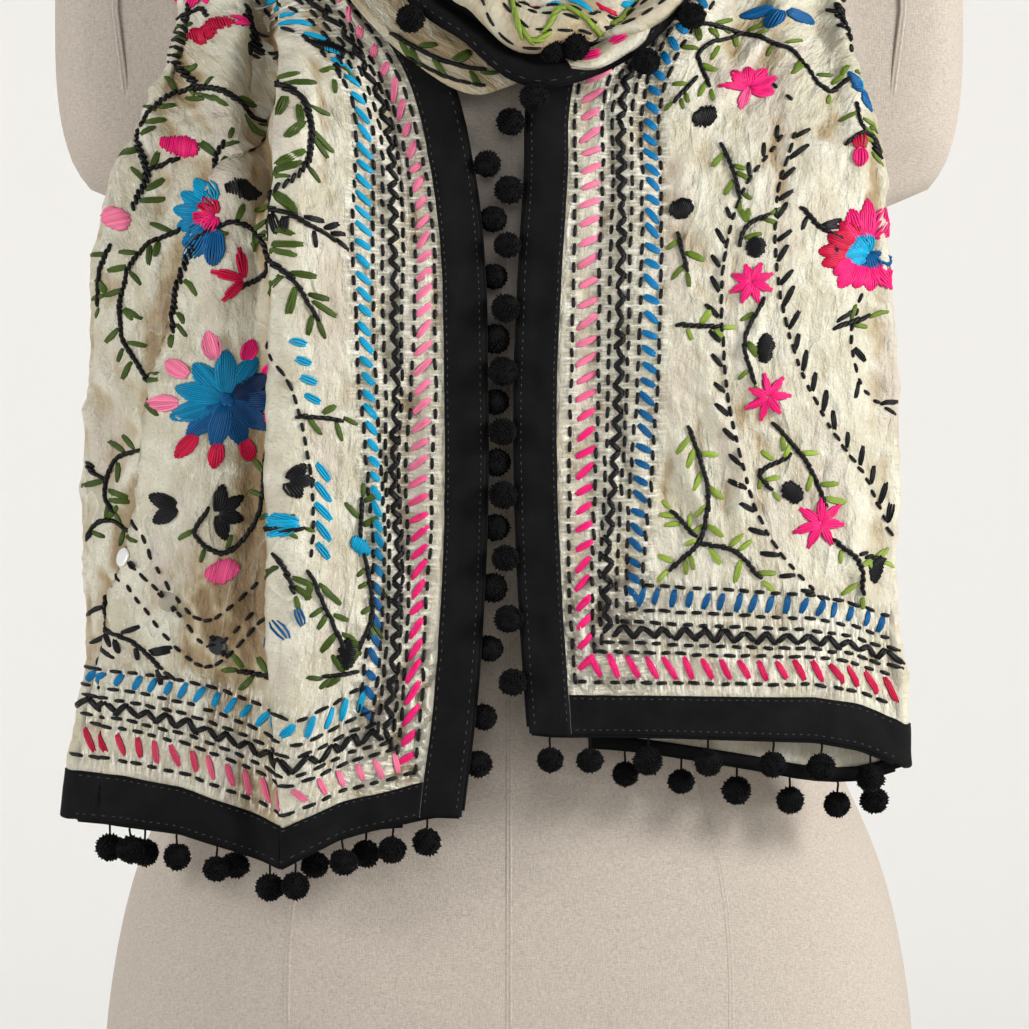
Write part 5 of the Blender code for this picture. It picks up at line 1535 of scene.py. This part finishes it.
def embroider_end(needle, side):
    """The border round a hanging end, its listed motifs, and a garland up over the shoulder."""
    cloth = needle.cloth
    flip = 1 if side == "right" else -1
    span = cloth["span"][0]

    def hem(across):
        return np.interp(across / span * (cloth["front"] - 1), np.arange(cloth["front"]), cloth["start"])

    pink, blue, hem_pink, hem_blue = BORDER_TONES[side]
    bottom = cloth["strand"]["rows"][0, 2]
    rows = side_rows(cloth, side)

    def up_side(k):
        return float(hem(TAPE_WIDTH + ROWS[k])) + TAPE_WIDTH + ROWS[k] - 2.0, cloth["end"] - 2.0

    turns = [height - bottom for height in TONE_TURNS[side]]
    needle.border(up_side, flip, pink, blue, rows=rows, turns=turns)
    needle.border(lambda k: (TAPE_WIDTH + float(rows(k, up_side(k)[0])) - 0.5, span + 1.5),
                  flip, hem_pink, hem_blue, hem)
    for table, stitch in ((SPRAYS, needle.spray), (FERNS, needle.fern), (FLOWERS, needle.flower),
                          (OVALS, needle.satin), (LADDERS, needle.ladder)):
        for row in table[side]:
            stitch(*row)
    for x, z, radius in MIRRORS[side]:
        turn = np.radians(MIRROR_HOLDS)
        ring = np.stack([np.cos(turn), np.sin(turn)], axis=-1)
        needle.sew([x, z] + ring * (radius - 1.8), [x, z] + ring * (radius + 1.3), BLACK, 0.7, 0.6, lift=1.1)
    needle.garland(GARLAND_FROM, cloth["end"] - GARLAND_SHORT, GARLAND_MIDDLE, GARLAND_SWING, GARLAND_TONES)
    topstitch(needle, (float(cloth["start"][0]) + 3.0, cloth["end"] - 1.0))
    topstitch(needle, (TAPE_WIDTH + 2.0, span - 1.0), hem)


def embroider_stretch(needle, flip, tones):
    """The border along a gathered stretch, with the tape's topstitching."""
    cloth = needle.cloth
    pink, blue = tones
    first, last = cloth["start"][0] + 1.0, cloth["end"] - 1.0
    needle.border((first, last), flip, pink, blue)
    topstitch(needle, (first, last))


def embroider_loop(needle, roll, under):
    """The loop's borders where they show, and the stitches on the rolled silk and the under layer."""
    first, last = needle.cloth["start"][0] + 1.0, needle.cloth["end"] - 1.0
    tones = ((HOT_PINK, PALE_PINK), (BLUE, CYAN))
    needle.border((first, ROLL_LINE[0][0] + 8.0), -1, *tones)
    needle.border((ROLL_LINE[-1][0] - 8.0, last), -1, *tones)
    topstitch(needle, (first, last))
    low, high = ROLL_LINE[0][0] + ROLL_ENDS, ROLL_LINE[-1][0] - ROLL_ENDS
    run = np.arange(low, high, ROLL_BAR_PITCH)
    bars = np.stack([run, np.full(len(run), ROLL_BAR_ROW)], axis=-1)
    bar_tones = np.where((np.arange(len(run)) % 3 == 2)[:, None], CRIMSON, CYAN)
    roll.bundle(bars - ROLL_BAR_REACH, bars + ROLL_BAR_REACH, bar_tones, 1.0, 4, 0.62, measure="run")
    middle, swing, wave = ROLL_STEM
    run = np.arange(low, high, 3.0)
    stem = np.stack([run, middle + swing * np.sin(2 * np.pi * run / wave)], axis=-1)
    roll.vine(stem, LIME, 1.15, 2.2, 4.6, "run")
    rows = np.arange(low, high, 6.0)
    for k, away in enumerate(ROLL_ROWS):
        at = np.stack([rows + 3.0 * (k % 2), np.full(len(rows), away)], axis=-1)
        roll.sew(at - (2.2, 0), at + (2.2, 0), BLACK, 0.7, 0.6, measure="run")
    under.spray(UNDER_SPRAY, OLIVE, 7, 7.5)
    under.dashes(UNDER_DASHES, pitch=5.4)


def topstitch(needle, run, hem=None):
    """Fine dots of thread along both edges of the tape."""
    at = np.arange(run[0], run[1], TOPSTITCH_PITCH)
    for away in TOPSTITCH_ROWS:
        across = np.full(len(at), away)
        if hem is None:
            start, end = np.stack([at, across], axis=-1), np.stack([at + 1.3, across], axis=-1)
        else:
            start = np.stack([hem(at) + across, at], axis=-1)
            end = np.stack([hem(at + 1.3) + across, at + 1.3], axis=-1)
        needle.sew(start, end, TOPSTITCH, 0.22, 0.16, lift=TAPE_LIFT + TAPE_THICK - 0.05, measure="run")


def binding_stations():
    """Round a folded tape: distance from the edge, share of the way out, share beyond the edge."""
    front = [(v, 1.0, 0.0) for v in np.linspace(TAPE_WIDTH, 0, TAPE_STATIONS[0])]
    turn = [(0.0, np.cos(a), np.sin(a)) for a in np.linspace(0, np.pi, TAPE_STATIONS[1] + 2)[1:-1]]
    back = [(v, -1.0, 0.0) for v in np.linspace(0, TAPE_BACK, TAPE_STATIONS[2])]
    return np.array(front + turn + back)


def bind(name, node, grid, normal, finish):
    """Tape round an edge, from points of the cloth at its stations.

    Outside = cloth + (normal * out + beyond * past) * (half cloth + lift + tape), and the
    inside is the tape's thickness nearer.
    """
    stations, edge = binding_stations(), TAPE_STATIONS[0] - 1
    beyond = unit(grid[:, edge] - grid[:, edge - 2])
    way = normal * stations[:, 1][:, None] + beyond[:, None] * stations[:, 2][:, None]
    inside = CLOTH_THICK / 2 + TAPE_LIFT
    points, faces = shell(grid + way * (inside + TAPE_THICK), grid + way * inside)
    rows, columns = grid.shape[:2]
    run, across = run_length(grid[:, edge // 2]), run_length(grid[rows // 2] + way[rows // 2])
    measure = np.zeros((rows, columns, 3))
    measure[..., 0] = across * MM
    measure[..., 1] = run[:, None] * MM
    measure = measure.reshape(-1, 3)
    piece = mesh_object(name, points, faces, finish,
                        {"measure": ("FLOAT_VECTOR", np.vstack([measure, measure]))})
    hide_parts(node)
    return piece


def side_tape(cloth, name, node, finish):
    """Tape along the taped edge of a stretch."""
    rows = len(cloth["span"])
    i = np.linspace(0, rows - 1, rows // 2 + 1)
    span = np.interp(i, np.arange(rows), cloth["span"])
    j = binding_stations()[:, 0] / span[:, None] * (cloth["front"] - 1)
    spread_i = np.broadcast_to(i[:, None], j.shape)
    grid, normal = sample(cloth["grid"], spread_i, j), unit(sample(cloth["normal"], spread_i, j))
    if cloth["hemmed"]:
        past = grid[:1] + unit(grid[:1] - grid[1:2]) * (CLOTH_THICK + TAPE_THICK)
        grid, normal = np.concatenate([past, grid]), np.concatenate([normal[:1], normal])
    return bind(name, node, grid, normal, finish)


def hem_tape(cloth, name, node, finish):
    """Tape along a hem, from the side tape round the fold and along the back layer."""
    rows, front = len(cloth["span"]), cloth["front"]
    columns = np.arange(cloth["grid"].shape[1])
    first = (TAPE_WIDTH + SEAM) / cloth["span"][0] * (front - 1)
    j = np.concatenate([[first], columns[columns > first + 0.2]])
    starts = np.interp(j, columns, cloth["starts"])
    depth = np.tile(binding_stations()[:, 0], (len(j), 1))
    behind = cloth["layer"][0, j.astype(int)] > 0.5
    depth[:, sum(TAPE_STATIONS[:2]):] *= np.where(behind, HEM_BACK, 1.0)[:, None]
    i = depth / (cloth["end"] - starts)[:, None] * (rows - 1)
    spread_j = np.broadcast_to(j[:, None], i.shape)
    grid, normal = sample(cloth["grid"], i, spread_j), unit(sample(cloth["normal"], i, spread_j))
    return bind(name, node, grid, normal, finish)


def tape_material():
    """Black cotton tape: fine ribs across, with a dull sheen and slightly worn patches."""
    tape = Finish("tape", TAPE_BLACK, 0.8, 0.14)
    measure = tape.given("measure")["Vector"]
    ribs, runs, worn = (tape.streaks(measure, scale) for scale in
                        ((1900.0, 420.0, 1.0), (260.0, 2300.0, 1.0), (90.0, 60.0, 1.0)))
    colour = tape.shades(tape.ramp(worn, 0.38, 0.66), TAPE_BLACK, 0.7, 1.6)
    return tape.paint(colour, tape.bump(tape.sum_of("ADD", ribs, runs), 0.0003, 0.6))


def tufted_ball(seed):
    """A pompom of radius 1: a rough ball with short tufts of wool standing out of it all over."""
    random = np.random.default_rng(seed)
    rise = np.linspace(0, np.pi, BALL_GRID[0] + 1)[1:-1]
    turn = np.linspace(0, 2 * np.pi, BALL_GRID[1], endpoint=False)
    ball = np.stack([np.sin(rise)[:, None] * np.cos(turn), np.sin(rise)[:, None] * np.sin(turn),
                     np.cos(rise)[:, None] * np.ones_like(turn)], axis=-1)
    ball = ball * random.uniform(*BALL_ROUGH, ball.shape[:2])[..., None]
    quads, caps = swap_sides(*tube_faces(*ball.shape[:2]))
    points = np.vstack([ball.reshape(-1, 3), [[0, 0, BALL_POLE], [0, 0, -BALL_POLE]]])
    golden = (np.arange(BALL_TUFTS) + 0.5) / BALL_TUFTS
    tilt, spin = np.arccos(1 - 2 * golden), np.pi * (1 + 5**0.5) * np.arange(BALL_TUFTS)
    way = np.stack([np.sin(tilt) * np.cos(spin), np.sin(tilt) * np.sin(spin), np.cos(tilt)], axis=-1)
    side = unit(np.cross(way, random.normal(size=way.shape)))
    other = np.cross(way, side)
    root = way * TUFT_ROOT
    wide = random.uniform(*TUFT_WIDE, (BALL_TUFTS, 1))
    corners = [root + wide * (np.cos(a) * side + np.sin(a) * other) for a in np.radians((0, 120, 240))]
    tip = way * random.uniform(*TUFT_TIP, (BALL_TUFTS, 1)) + TUFT_SCATTER * random.normal(size=way.shape)
    spikes = np.stack([*corners, tip], axis=1).reshape(-1, 3)
    first = len(points) + 4 * np.arange(BALL_TUFTS)[:, None, None]
    tufts = (np.array([(0, 1, 3), (1, 2, 3), (2, 0, 3), (2, 1, 0)]) + first).reshape(-1, 3)
    return np.vstack([points, spikes]), quads, np.concatenate([caps, tufts])


def add_trim(name, edge, away, ways, balls, thread, finish, seed):
    """A narrow braid just past an edge, and pompoms grown on it or hung on threads from it.

    A ball's middle = base + way * (thread + radius).
    """
    random = np.random.default_rng(seed)
    strip = np.stack([edge + away * TRIM_GAP, edge + away * (TRIM_GAP + TRIM_WIDTH)], axis=1)
    thick = grid_normals(strip) * TRIM_THICK / 2
    points, faces = shell(strip + thick, strip - thick)
    all_points, all_faces = [points], [faces[0]]
    count = len(points)
    known = np.arange(len(edge))
    base, out, way = (np.stack([np.interp(balls, known, values[:, k]) for k in range(3)], axis=-1)
                      for values in (strip[:, 0], away, ways))
    way = unit(way)
    base = base + out * (ROOT_DEPTH if thread else ROOT_DEPTH * 3)
    for k in range(len(balls)):
        shape, quads, triangles = tufted_ball(seed * 7 + k % BALL_SHAPES)
        turned = np.linalg.qr(random.normal(size=(3, 3)))[0]
        turned = turned * np.sign(np.linalg.det(turned))
        size = BALL_RADIUS * random.uniform(*BALL_SIZES) * np.array([1, 1, random.uniform(*BALL_FLATS)])
        centre = base[k] + way[k] * (thread + BALL_RADIUS)
        all_points.append(shape @ turned.T * size + centre)
        all_faces += [quads + count, triangles + count]
        count += len(shape)
        if thread:
            side = unit(np.cross(way[k], THREAD_START))
            ring = THREAD_RADIUS * (np.cos(THREAD_SPOKES)[:, None] * side
                                    + np.sin(THREAD_SPOKES)[:, None] * np.cross(way[k], side))
            wander = side * random.uniform(-THREAD_WANDER, THREAD_WANDER)
            first, last = base[k] - way[k], centre - way[k] * BALL_RADIUS * THREAD_INTO_BALL
            rings = np.concatenate([first + ring, base[k] + way[k] * thread / 2 + wander + ring,
                                    last + ring, [first], [last]])
            sides, ends = tube_faces(3, len(THREAD_SPOKES))
            all_points.append(rings)
            all_faces += [sides + count, ends + count]
            count += len(rings)
    fixed = []
    points = np.vstack(all_points)
    for group in all_faces:
        fixed.append(group if volume(points, [group]) >= 0 or group.shape[1] == 3 else group[:, ::-1])
    piece = mesh_object(name, points, fixed, finish)
    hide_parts(name.replace("wool_", "pompoms_"))
    return piece


def loose_balls(name, cloth, places, finish, seed):
    """Pompoms that stand out in front of a stretch, each held by its own surface."""
    random = np.random.default_rng(seed)
    rows = np.array(places, float)
    i, j = front_places(cloth, rows[:, 0], rows[:, 1])
    centres = sample(cloth["grid"], i, j) + unit(sample(cloth["normal"], i, j)) * (BALL_RADIUS * 0.85)
    points, faces, count = [], [], 0
    for centre in centres:
        shape, quads, triangles = tufted_ball(int(random.integers(90)))
        points.append(shape * BALL_RADIUS + centre)
        faces += [quads + count, triangles + count]
        count += len(shape)
    piece = mesh_object(name, np.vstack(points), faces, finish)
    return piece


def end_trims(cloth, name, balls, lean, finish, seed):
    """Pompoms down the side, along the hem in front and along the hem behind."""
    side_balls, hem_balls, behind_balls = balls
    grid, front = cloth["grid"], cloth["front"]
    edge = grid[:, 0]
    showing = edge[:, 2] < SIDE_TRIM_TOP
    showing[0] = False
    side = edge[showing][::3]
    away = frame_at(cloth["strand"], cloth["u"][showing, 0][::3])[1]
    free = np.clip((LEAN_TOP - side[:, 2]) / LEAN_FADE, 0, 1)
    ways = away + np.stack([0 * free, lean * free, 0 * free], axis=-1)
    order = np.argsort(side[:, 2])
    places = np.interp(side_balls, side[order, 2], np.arange(len(side))[order])
    pieces = [add_trim(f"wool_{name}_side", side, away, ways, places, 0.0, finish, seed)]
    behind = front + cloth["turns"]
    for part, first, run in (("hem", 0.0, grid[0, :front:2]),
                             ("behind", SETBACK, grid[0, behind:][::-1])):
        down = np.tile((0.0, 0.0, -1.0), (len(run), 1))
        places = np.interp(hem_balls if part == "hem" else behind_balls,
                           first + run_length(run * (1.0, 1.0, 0.0)), np.arange(len(run)))
        pieces.append(add_trim(f"wool_{name}_{part}", run, down, down, places, THREAD_LENGTH,
                               finish, seed + 1))
    return pieces


def stretch_trim(cloth, name, balls, finish, seed):
    """Pompoms along a gathered stretch's taped edge. balls are distances from its middle."""
    edge = cloth["grid"][::2, 0]
    run = run_length(edge)
    run -= run[-1] / 2
    trimmed = (run > balls[0] - TRIM_SPARE) & (run < balls[-1] + TRIM_SPARE)
    away, out = frame_at(cloth["strand"], cloth["u"][::2, 0][trimmed])[1:3]
    places = np.interp(balls, run[trimmed], np.arange(trimmed.sum()))
    return add_trim("wool_" + name, edge[trimmed], away, away + out * STRETCH_LEAN, places, 0.0, finish, seed)


def wool_material():
    """Black wool, a little lighter and darker from tuft to tuft."""
    wool = Finish("wool", WOOL_BLACK, 0.95, 0.15)
    fuzz = wool.node("TexNoise", {"Vector": wool.place(), "Scale": 1400.0})["Fac"]
    return wool.paint(wool.shades(fuzz, WOOL_BLACK, 0.5, 1.8))


def mirror_material():
    """Small looking glasses, slightly dulled, each with its reflection painted as its colour."""
    glass = Finish("mirror", (0.62, 0.62, 0.60), 0.25)
    glass.shader.inputs["Metallic"].default_value = 0.25
    return glass.paint(glass.given("tone")["Color"])


def add_mirrors(cloth, side, finish):
    """Small domed discs on the silk: rings of radius r cos(a) raised by a little at the middle."""
    rows = np.array(MIRRORS[side], float)
    spokes = np.linspace(0, 2 * np.pi, 24, endpoint=False)
    i, j = front_places(cloth, rows[:, 0], rows[:, 1])
    centre, normal = sample(cloth["grid"], i, j), unit(sample(cloth["normal"], i, j))
    points, faces, each = [], [], len(MIRROR_RINGS) * len(spokes) + 2
    for k, (place, up, radius) in enumerate(zip(centre, normal, rows[:, 2])):
        first = unit(np.cross(up, (0.0, 1.0, 0.3)))
        second = np.cross(up, first)
        ring = np.cos(spokes)[:, None] * first + np.sin(spokes)[:, None] * second
        for rise, share in MIRROR_RINGS:
            points.append(place + up * rise + ring * radius * share)
        points += [[place + up * rise] for rise in (MIRROR_RINGS[0][0], MIRROR_RINGS[-1][0])]
        faces += [group + k * each for group in tube_faces(len(MIRROR_RINGS), len(spokes))]
    points = np.vstack(points)
    if volume(points, faces) < 0:
        faces = [group[:, ::-1] for group in faces]
    # Each mirror's painted reflection, in turn, as its colour.
    tones = np.repeat(np.array([(*MIRROR_REFLECTIONS[k % 3], 1.0) for k in range(len(rows))]), each, axis=0)
    return mesh_object("mirrors_" + side, points, faces, finish, {"tone": ("FLOAT_COLOR", tones)})


def form_surface(turns, heights):
    """The form's own surface in millimetres: for each turn and height, out from the middle line."""
    turns, heights = np.broadcast_arrays(turns, heights)
    ways = np.stack([np.sin(turns), -np.cos(turns)], axis=-1)
    grid = np.zeros((*turns.shape, len(FORM_STEPS), 3))
    grid[..., :2] = ways[..., None, :] * FORM_STEPS[:, None]
    grid[..., 2] = heights[..., None]
    radius = outermost(form_field(grid), FORM_STEPS)
    return np.concatenate([ways * radius[..., None], heights[..., None]], axis=-1)


def build_form():
    """The padded form: rings of its outline closed by a flat base and a low dome over the neck."""
    tall, around = FORM_COARSE
    turns, heights = np.linspace(0, 2 * np.pi, around), np.linspace(0, FORM_BROW, tall)
    rings = refine(form_surface(turns[None], heights[:, None]), np.linspace(0, tall - 1, FORM_RINGS),
                   np.linspace(0, around - 1, FORM_AROUND + 1))[:, :-1]
    lifts = DOME_LIFTS[:, None, None]
    dome = np.repeat(rings[-1:], len(lifts), axis=0)
    dome[..., :2] *= np.cos(lifts)
    dome[..., 2:] = FORM_BROW + (FORM_TOP - FORM_BROW) * np.sin(lifts)
    rings = np.concatenate([rings, dome])
    points = np.vstack([rings.reshape(-1, 3), [[0, 0, 0], [0, 0, FORM_TOP]]])
    faces = list(tube_faces(*rings.shape[:2]))
    if volume(points, faces) < 0:
        faces = [group[:, ::-1] for group in faces]
    finish = linen_material()
    form = mesh_object("form_linen", points, faces, finish)
    build_seams(finish)
    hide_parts("dress_form")
    return form


def seam_strip(surface_points, outward, along_way):
    """A pressed seam: two low welts with a groove between, carried along a line on the form.

    Section: heights WELT over the surface at offsets across the line.
    """
    side = unit(np.cross(outward, along_way))
    offsets, heights = np.array(WELT).T
    ring = (surface_points[:, None] + side[:, None] * offsets[:, None] + outward[:, None] * heights[:, None])
    quads, caps = tube_faces(*ring.shape[:2])
    points = np.vstack([ring.reshape(-1, 3), surface_points[:1], surface_points[-1:]])
    if volume(points, [quads, caps]) < 0:
        quads, caps = quads[:, ::-1], caps[:, ::-1]
    return points, quads, caps


def build_seams(finish):
    """The form's sewn seams: centre front and back, princess lines, sides and round the arm stubs."""
    table = np.array(SEAM_LINES, float)
    lines = []
    for turn, top in ((0.0, FORM_BROW - SEAM_SHORT), (np.pi, FORM_BROW - SEAM_SHORT),
                      (np.pi / 2, SIDE_SEAM_TOP), (-np.pi / 2, SIDE_SEAM_TOP)):
        lines.append(form_surface(np.full(SEAM_POINTS, turn), np.linspace(SEAM_FOOT, top, SEAM_POINTS)))
    heights = np.linspace(SEAM_FOOT, table[-1, 0], SEAM_POINTS)
    across = curve_through(heights, table[:, 0], table[:, 1])
    for mirror, ahead in ((1, 1), (-1, 1), (1, -1), (-1, -1)):
        turn = np.arcsin(across / SEAM_GUESS)
        for _ in range(SEAM_ROUNDS):
            reached = np.hypot(*form_surface(np.pi / 2 + ahead * (turn - np.pi / 2), heights)[:, :2].T)
            turn = (turn + np.arcsin(np.clip(across / reached, -0.99, 0.99))) / 2
        lines.append(form_surface(mirror * (np.pi / 2 + ahead * (turn - np.pi / 2)), heights))
    around = np.linspace(0, 2 * np.pi, ARMHOLE_POINTS)
    for mirror in (1, -1):
        way = np.stack([0 * around, np.cos(around), np.sin(around)], axis=-1)
        middle = np.array([mirror * ARMHOLE_X, *ARM_CENTRE[1:]])
        grid = middle + way[:, None] * ARMHOLE_STEPS[:, None]
        grid[..., 0] -= mirror * ARMHOLE_LEAN * (ARM_CENTRE[2] - grid[..., 2]).clip(0)
        ring = middle + way * outermost(form_field(grid), ARMHOLE_STEPS)[:, None]
        ring[:, 0] -= mirror * ARMHOLE_LEAN * (ARM_CENTRE[2] - ring[:, 2]).clip(0)
        lines.append(ring)
    all_points, all_faces, count = [], [], 0
    for line in lines:
        field = [form_field(line + offset) - form_field(line - offset) for offset in np.eye(3)]
        outward = unit(np.stack(field, axis=-1))
        points, quads, caps = seam_strip(line, outward, unit(np.gradient(line, axis=0)))
        all_points.append(points)
        all_faces += [quads + count, caps + count]
        count += len(points)
    return mesh_object("form_seams", np.vstack(all_points), all_faces, finish)


def linen_material():
    """Plain woven linen: fine threads both ways, with a few thicker ones."""
    linen = Finish("linen", LINEN, 0.85)
    place = linen.place()
    weave = linen.sum_of("ADD", *(linen.streaks(place, scale) for scale in
                                  ((500.0, 500.0, 2400.0), (2600.0, 2600.0, 420.0))))
    colour = linen.shades(linen.ramp(weave, 0.7, 1.3), LINEN, 0.76, 1.14)
    return linen.paint(colour, linen.bump(weave, 0.0004, 0.5))


def build_stage():
    """A pale floor that sweeps up behind, four soft lights and the camera."""
    turn = np.linspace(0, np.pi / 2, 14)[1:]
    depth = np.concatenate([[-SWEEP_REACH, SWEEP_BEND], SWEEP_BEND + SWEEP_RADIUS * np.sin(turn),
                            [SWEEP_BEND + SWEEP_RADIUS]])
    height = np.concatenate([[0.0, 0.0], SWEEP_RADIUS * (1 - np.cos(turn)), [SWEEP_TOP]])
    grid = np.zeros((len(depth), 2, 3))
    grid[..., 0] = -SWEEP_REACH, SWEEP_REACH
    grid[..., 1] = depth[:, None]
    grid[..., 2] = height[:, None]
    number = np.arange(len(depth) * 2).reshape(-1, 2)
    faces = np.stack([number[:-1, 0], number[:-1, 1], number[1:, 1], number[1:, 0]], axis=-1)
    mesh = bpy.data.meshes.new("floor")
    mesh.from_pydata(grid.reshape(-1, 3).tolist(), [], faces.tolist())
    mesh.shade_smooth()
    mesh.materials.append(Finish("floor", FLOOR, 0.9).one_sided())
    floor = bpy.data.objects.new("floor", mesh)
    bpy.context.collection.objects.link(floor)
    for name, place, power, size, tint in LIGHTS:
        lamp = bpy.data.lights.new(name, "AREA")
        lamp.energy = power
        lamp.size = size
        lamp.color = tint
        light = bpy.data.objects.new(name, lamp)
        light.location = place
        aim = np.array(AIM) - np.array(place)
        light.rotation_euler = direction_angles(aim)
        bpy.context.collection.objects.link(light)
    world = bpy.data.worlds.new("studio")
    world.use_nodes = True
    tree = world.node_tree
    sky = tree.nodes["Background"]
    sky.inputs["Color"].default_value = (*SKY, 1.0)
    seen = tree.nodes.new("ShaderNodeMapRange")
    seen.inputs["To Min"].default_value = SKY_STRENGTH
    seen.inputs["To Max"].default_value = SKY_SEEN
    ray = tree.nodes.new("ShaderNodeLightPath")
    tree.links.new(ray.outputs["Is Camera Ray"], seen.inputs["Value"])
    tree.links.new(seen.outputs["Result"], sky.inputs["Strength"])
    bpy.context.scene.world = world
    eye = bpy.data.cameras.new("camera")
    eye.lens = CAMERA_LENS
    eye.sensor_width = CAMERA_SENSOR
    camera = bpy.data.objects.new("camera", eye)
    camera.location = CAMERA_PLACE
    camera.rotation_euler = (np.pi / 2, 0, 0)
    bpy.context.collection.objects.link(camera)
    bpy.context.scene.camera = camera
    bpy.context.scene.view_settings.view_transform = "Standard"


def direction_angles(aim):
    """Euler angles that turn a lamp's -Z along aim."""
    flat = np.hypot(aim[0], aim[1])
    return (np.arctan2(flat, -aim[2]), 0.0, np.arctan2(aim[1], aim[0]) - np.pi / 2)


def dress_loop(cloth, needle, silk, thread, wool):
    """The silk rolled over the loop's tape and the tuck below it, their stitches and two pompoms."""
    pieces = []
    roll, face = rolled(cloth, ROLL_LINE, ROLL_WIDE, ROLL_HIGH)
    tuck, tuck_face = rolled(cloth, TUCK_LINE, TUCK_WIDE, TUCK_HIGH)
    inside = inside_of_back(cloth)
    on_roll, on_tuck, on_inside = (Needle(part, LOOP_NEEDLE_SEED + k)
                                   for k, part in enumerate((face, tuck_face, inside)))
    embroider_loop(needle, on_roll, on_inside)
    for at, away in TUCK_BARS:
        on_tuck.bundle((at - TUCK_BAR_REACH, away), (at + TUCK_BAR_REACH, away), HOT_PINK, 1.4, 4,
                       measure="run")
    for title, part, sewn in (("roll", roll, on_roll), ("tuck", tuck, on_tuck)):
        piece = add_cloth("silk_loop_" + title, part, silk)
        pieces += [piece, add_threads("stitches_loop_" + title, sewn, thread)]
    pieces.append(add_threads("stitches_loop_inside", on_inside, thread))
    pieces.append(loose_balls("pompoms_loop_front", cloth, FRONT_BALLS, wool, LOOSE_SEED))
    return pieces


def build_cloths():
    """The five stretches of the stole, laid smooth and then creased."""
    left = strand_of(LEFT_END_ROWS, LEFT_WAY_ROWS, 1)
    right = strand_of(RIGHT_END_ROWS, RIGHT_WAY_ROWS, -1)
    loop = strand_of((), LOOP_ROWS, -1)
    cloths = {}

    def steady(value):
        return lambda along: np.full(np.shape(along), float(value))

    for name, strand, hem, behind, creases in (
            ("left", left, LEFT_HEM, LEFT_HEM_BEHIND, LEFT_CREASES),
            ("right", right, RIGHT_HEM, RIGHT_HEM_BEHIND, RIGHT_CREASES)):
        crest = strand["along"][strand["hanging"] + CREST_STATION]
        cloths[name] = lay_cloth(strand, hem_start(strand, hem, behind), crest, steady(SETBACK),
                                 steady(0.0), creases, COARSE_COLUMNS, COARSE_ROWS["end"],
                                 END_COLUMNS, END_ROWS_FINE)
        cloths[name]["hemmed"] = True
    for name, strand in (("nape_under", left), ("nape_over", right)):
        first = strand["along"][strand["hanging"] + CREST_STATION] + SEAM
        last = strand["along"][strand["hanging"] + TUCK_STATION] - JOINT_GAP
        cloths[name] = lay_cloth(strand, lambda share, layer, first=first: np.full(len(share), first), last,
                                 steady(NAPE_SETBACK), steady(0.0), (), COARSE_COLUMNS, COARSE_ROWS["nape"],
                                 STRETCH_COLUMNS, NAPE_ROWS_FINE)
    first, last = loop["along"][LOOP_FIRST], loop["along"][LOOP_LAST]

    def bare(along):
        part = smooth_step((LOOP_BARE_FROM - frame_at(loop, along)[0][..., 0]) / LOOP_BARE_FADE)
        return part * np.clip((last - along) / LOOP_BARE_END, 0, 1)

    def tip(along):
        return LOOP_TIP[1] * np.exp(-(((frame_at(loop, along)[0][..., 0] - LOOP_TIP[0]) / LOOP_TIP[2]) ** 2))

    cloths["loop"] = lay_cloth(loop, lambda share, layer: np.full(len(share), first), last,
                               lambda along: LOOP_SETBACK * (1 - bare(along)) - tip(along),
                               lambda along: LOOP_BARE * bare(along), (), COARSE_COLUMNS, COARSE_ROWS["loop"],
                               STRETCH_COLUMNS, LOOP_ROWS_FINE)
    for name, cloth in cloths.items():
        cloth.setdefault("hemmed", False)
        detail(cloth, CREASE_SEEDS[name], name)
    return cloths


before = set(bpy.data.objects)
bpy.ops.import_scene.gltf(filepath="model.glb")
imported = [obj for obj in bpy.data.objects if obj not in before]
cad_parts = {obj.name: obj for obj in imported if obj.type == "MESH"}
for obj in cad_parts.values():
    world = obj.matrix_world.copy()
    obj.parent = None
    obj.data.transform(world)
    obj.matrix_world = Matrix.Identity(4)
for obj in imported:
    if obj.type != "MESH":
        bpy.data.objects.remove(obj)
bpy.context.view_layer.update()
cloths = build_cloths()
build_form()
silk, thread, tape, wool = silk_material(), thread_material(), tape_material(), wool_material()
TRIMS = {"left": ((LEFT_SIDE_BALLS, LEFT_HEM_BALLS, LEFT_BEHIND_BALLS), LEFT_LEAN),
         "right": ((RIGHT_SIDE_BALLS, RIGHT_HEM_BALLS, RIGHT_BEHIND_BALLS), RIGHT_LEAN)}
for number, (name, cloth) in enumerate(cloths.items()):
    sheet = add_cloth("silk_" + name, cloth, silk)
    node = {"left": "end_left", "right": "end_right", "loop": "neck_loop"}.get(name, name)
    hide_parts(node)
    needle = Needle(cloth, NEEDLE_SEED + number)
    if name in SPRAYS:
        embroider_end(needle, name)
        with_it = [side_tape(cloth, f"binding_{name}_side", f"tape_{name}_side", tape),
                   hem_tape(cloth, f"binding_{name}_hem", f"tape_{name}_hem", tape),
                   *end_trims(cloth, name, *TRIMS[name], wool, TRIM_SEED + number)]
        if MIRRORS[name]:
            with_it.append(add_mirrors(cloth, name, mirror_material()))
    elif name == "loop":
        with_it = [side_tape(cloth, "binding_" + node, "tape_" + node, tape),
                   stretch_trim(cloth, node, LOOP_BALLS, wool, TRIM_SEED + number)]
        with_it += dress_loop(cloth, needle, silk, thread, wool)
    else:
        embroider_stretch(needle, -1, ((HOT_PINK, PALE_PINK), (BLUE, CYAN)))
        with_it = [side_tape(cloth, "binding_" + node, "tape_" + node, tape)]
        if name == "nape_over":
            with_it.append(stretch_trim(cloth, node, NAPE_BALLS, wool, TRIM_SEED + number))
    with_it.append(add_threads("stitches_" + name, needle, thread))
build_stage()
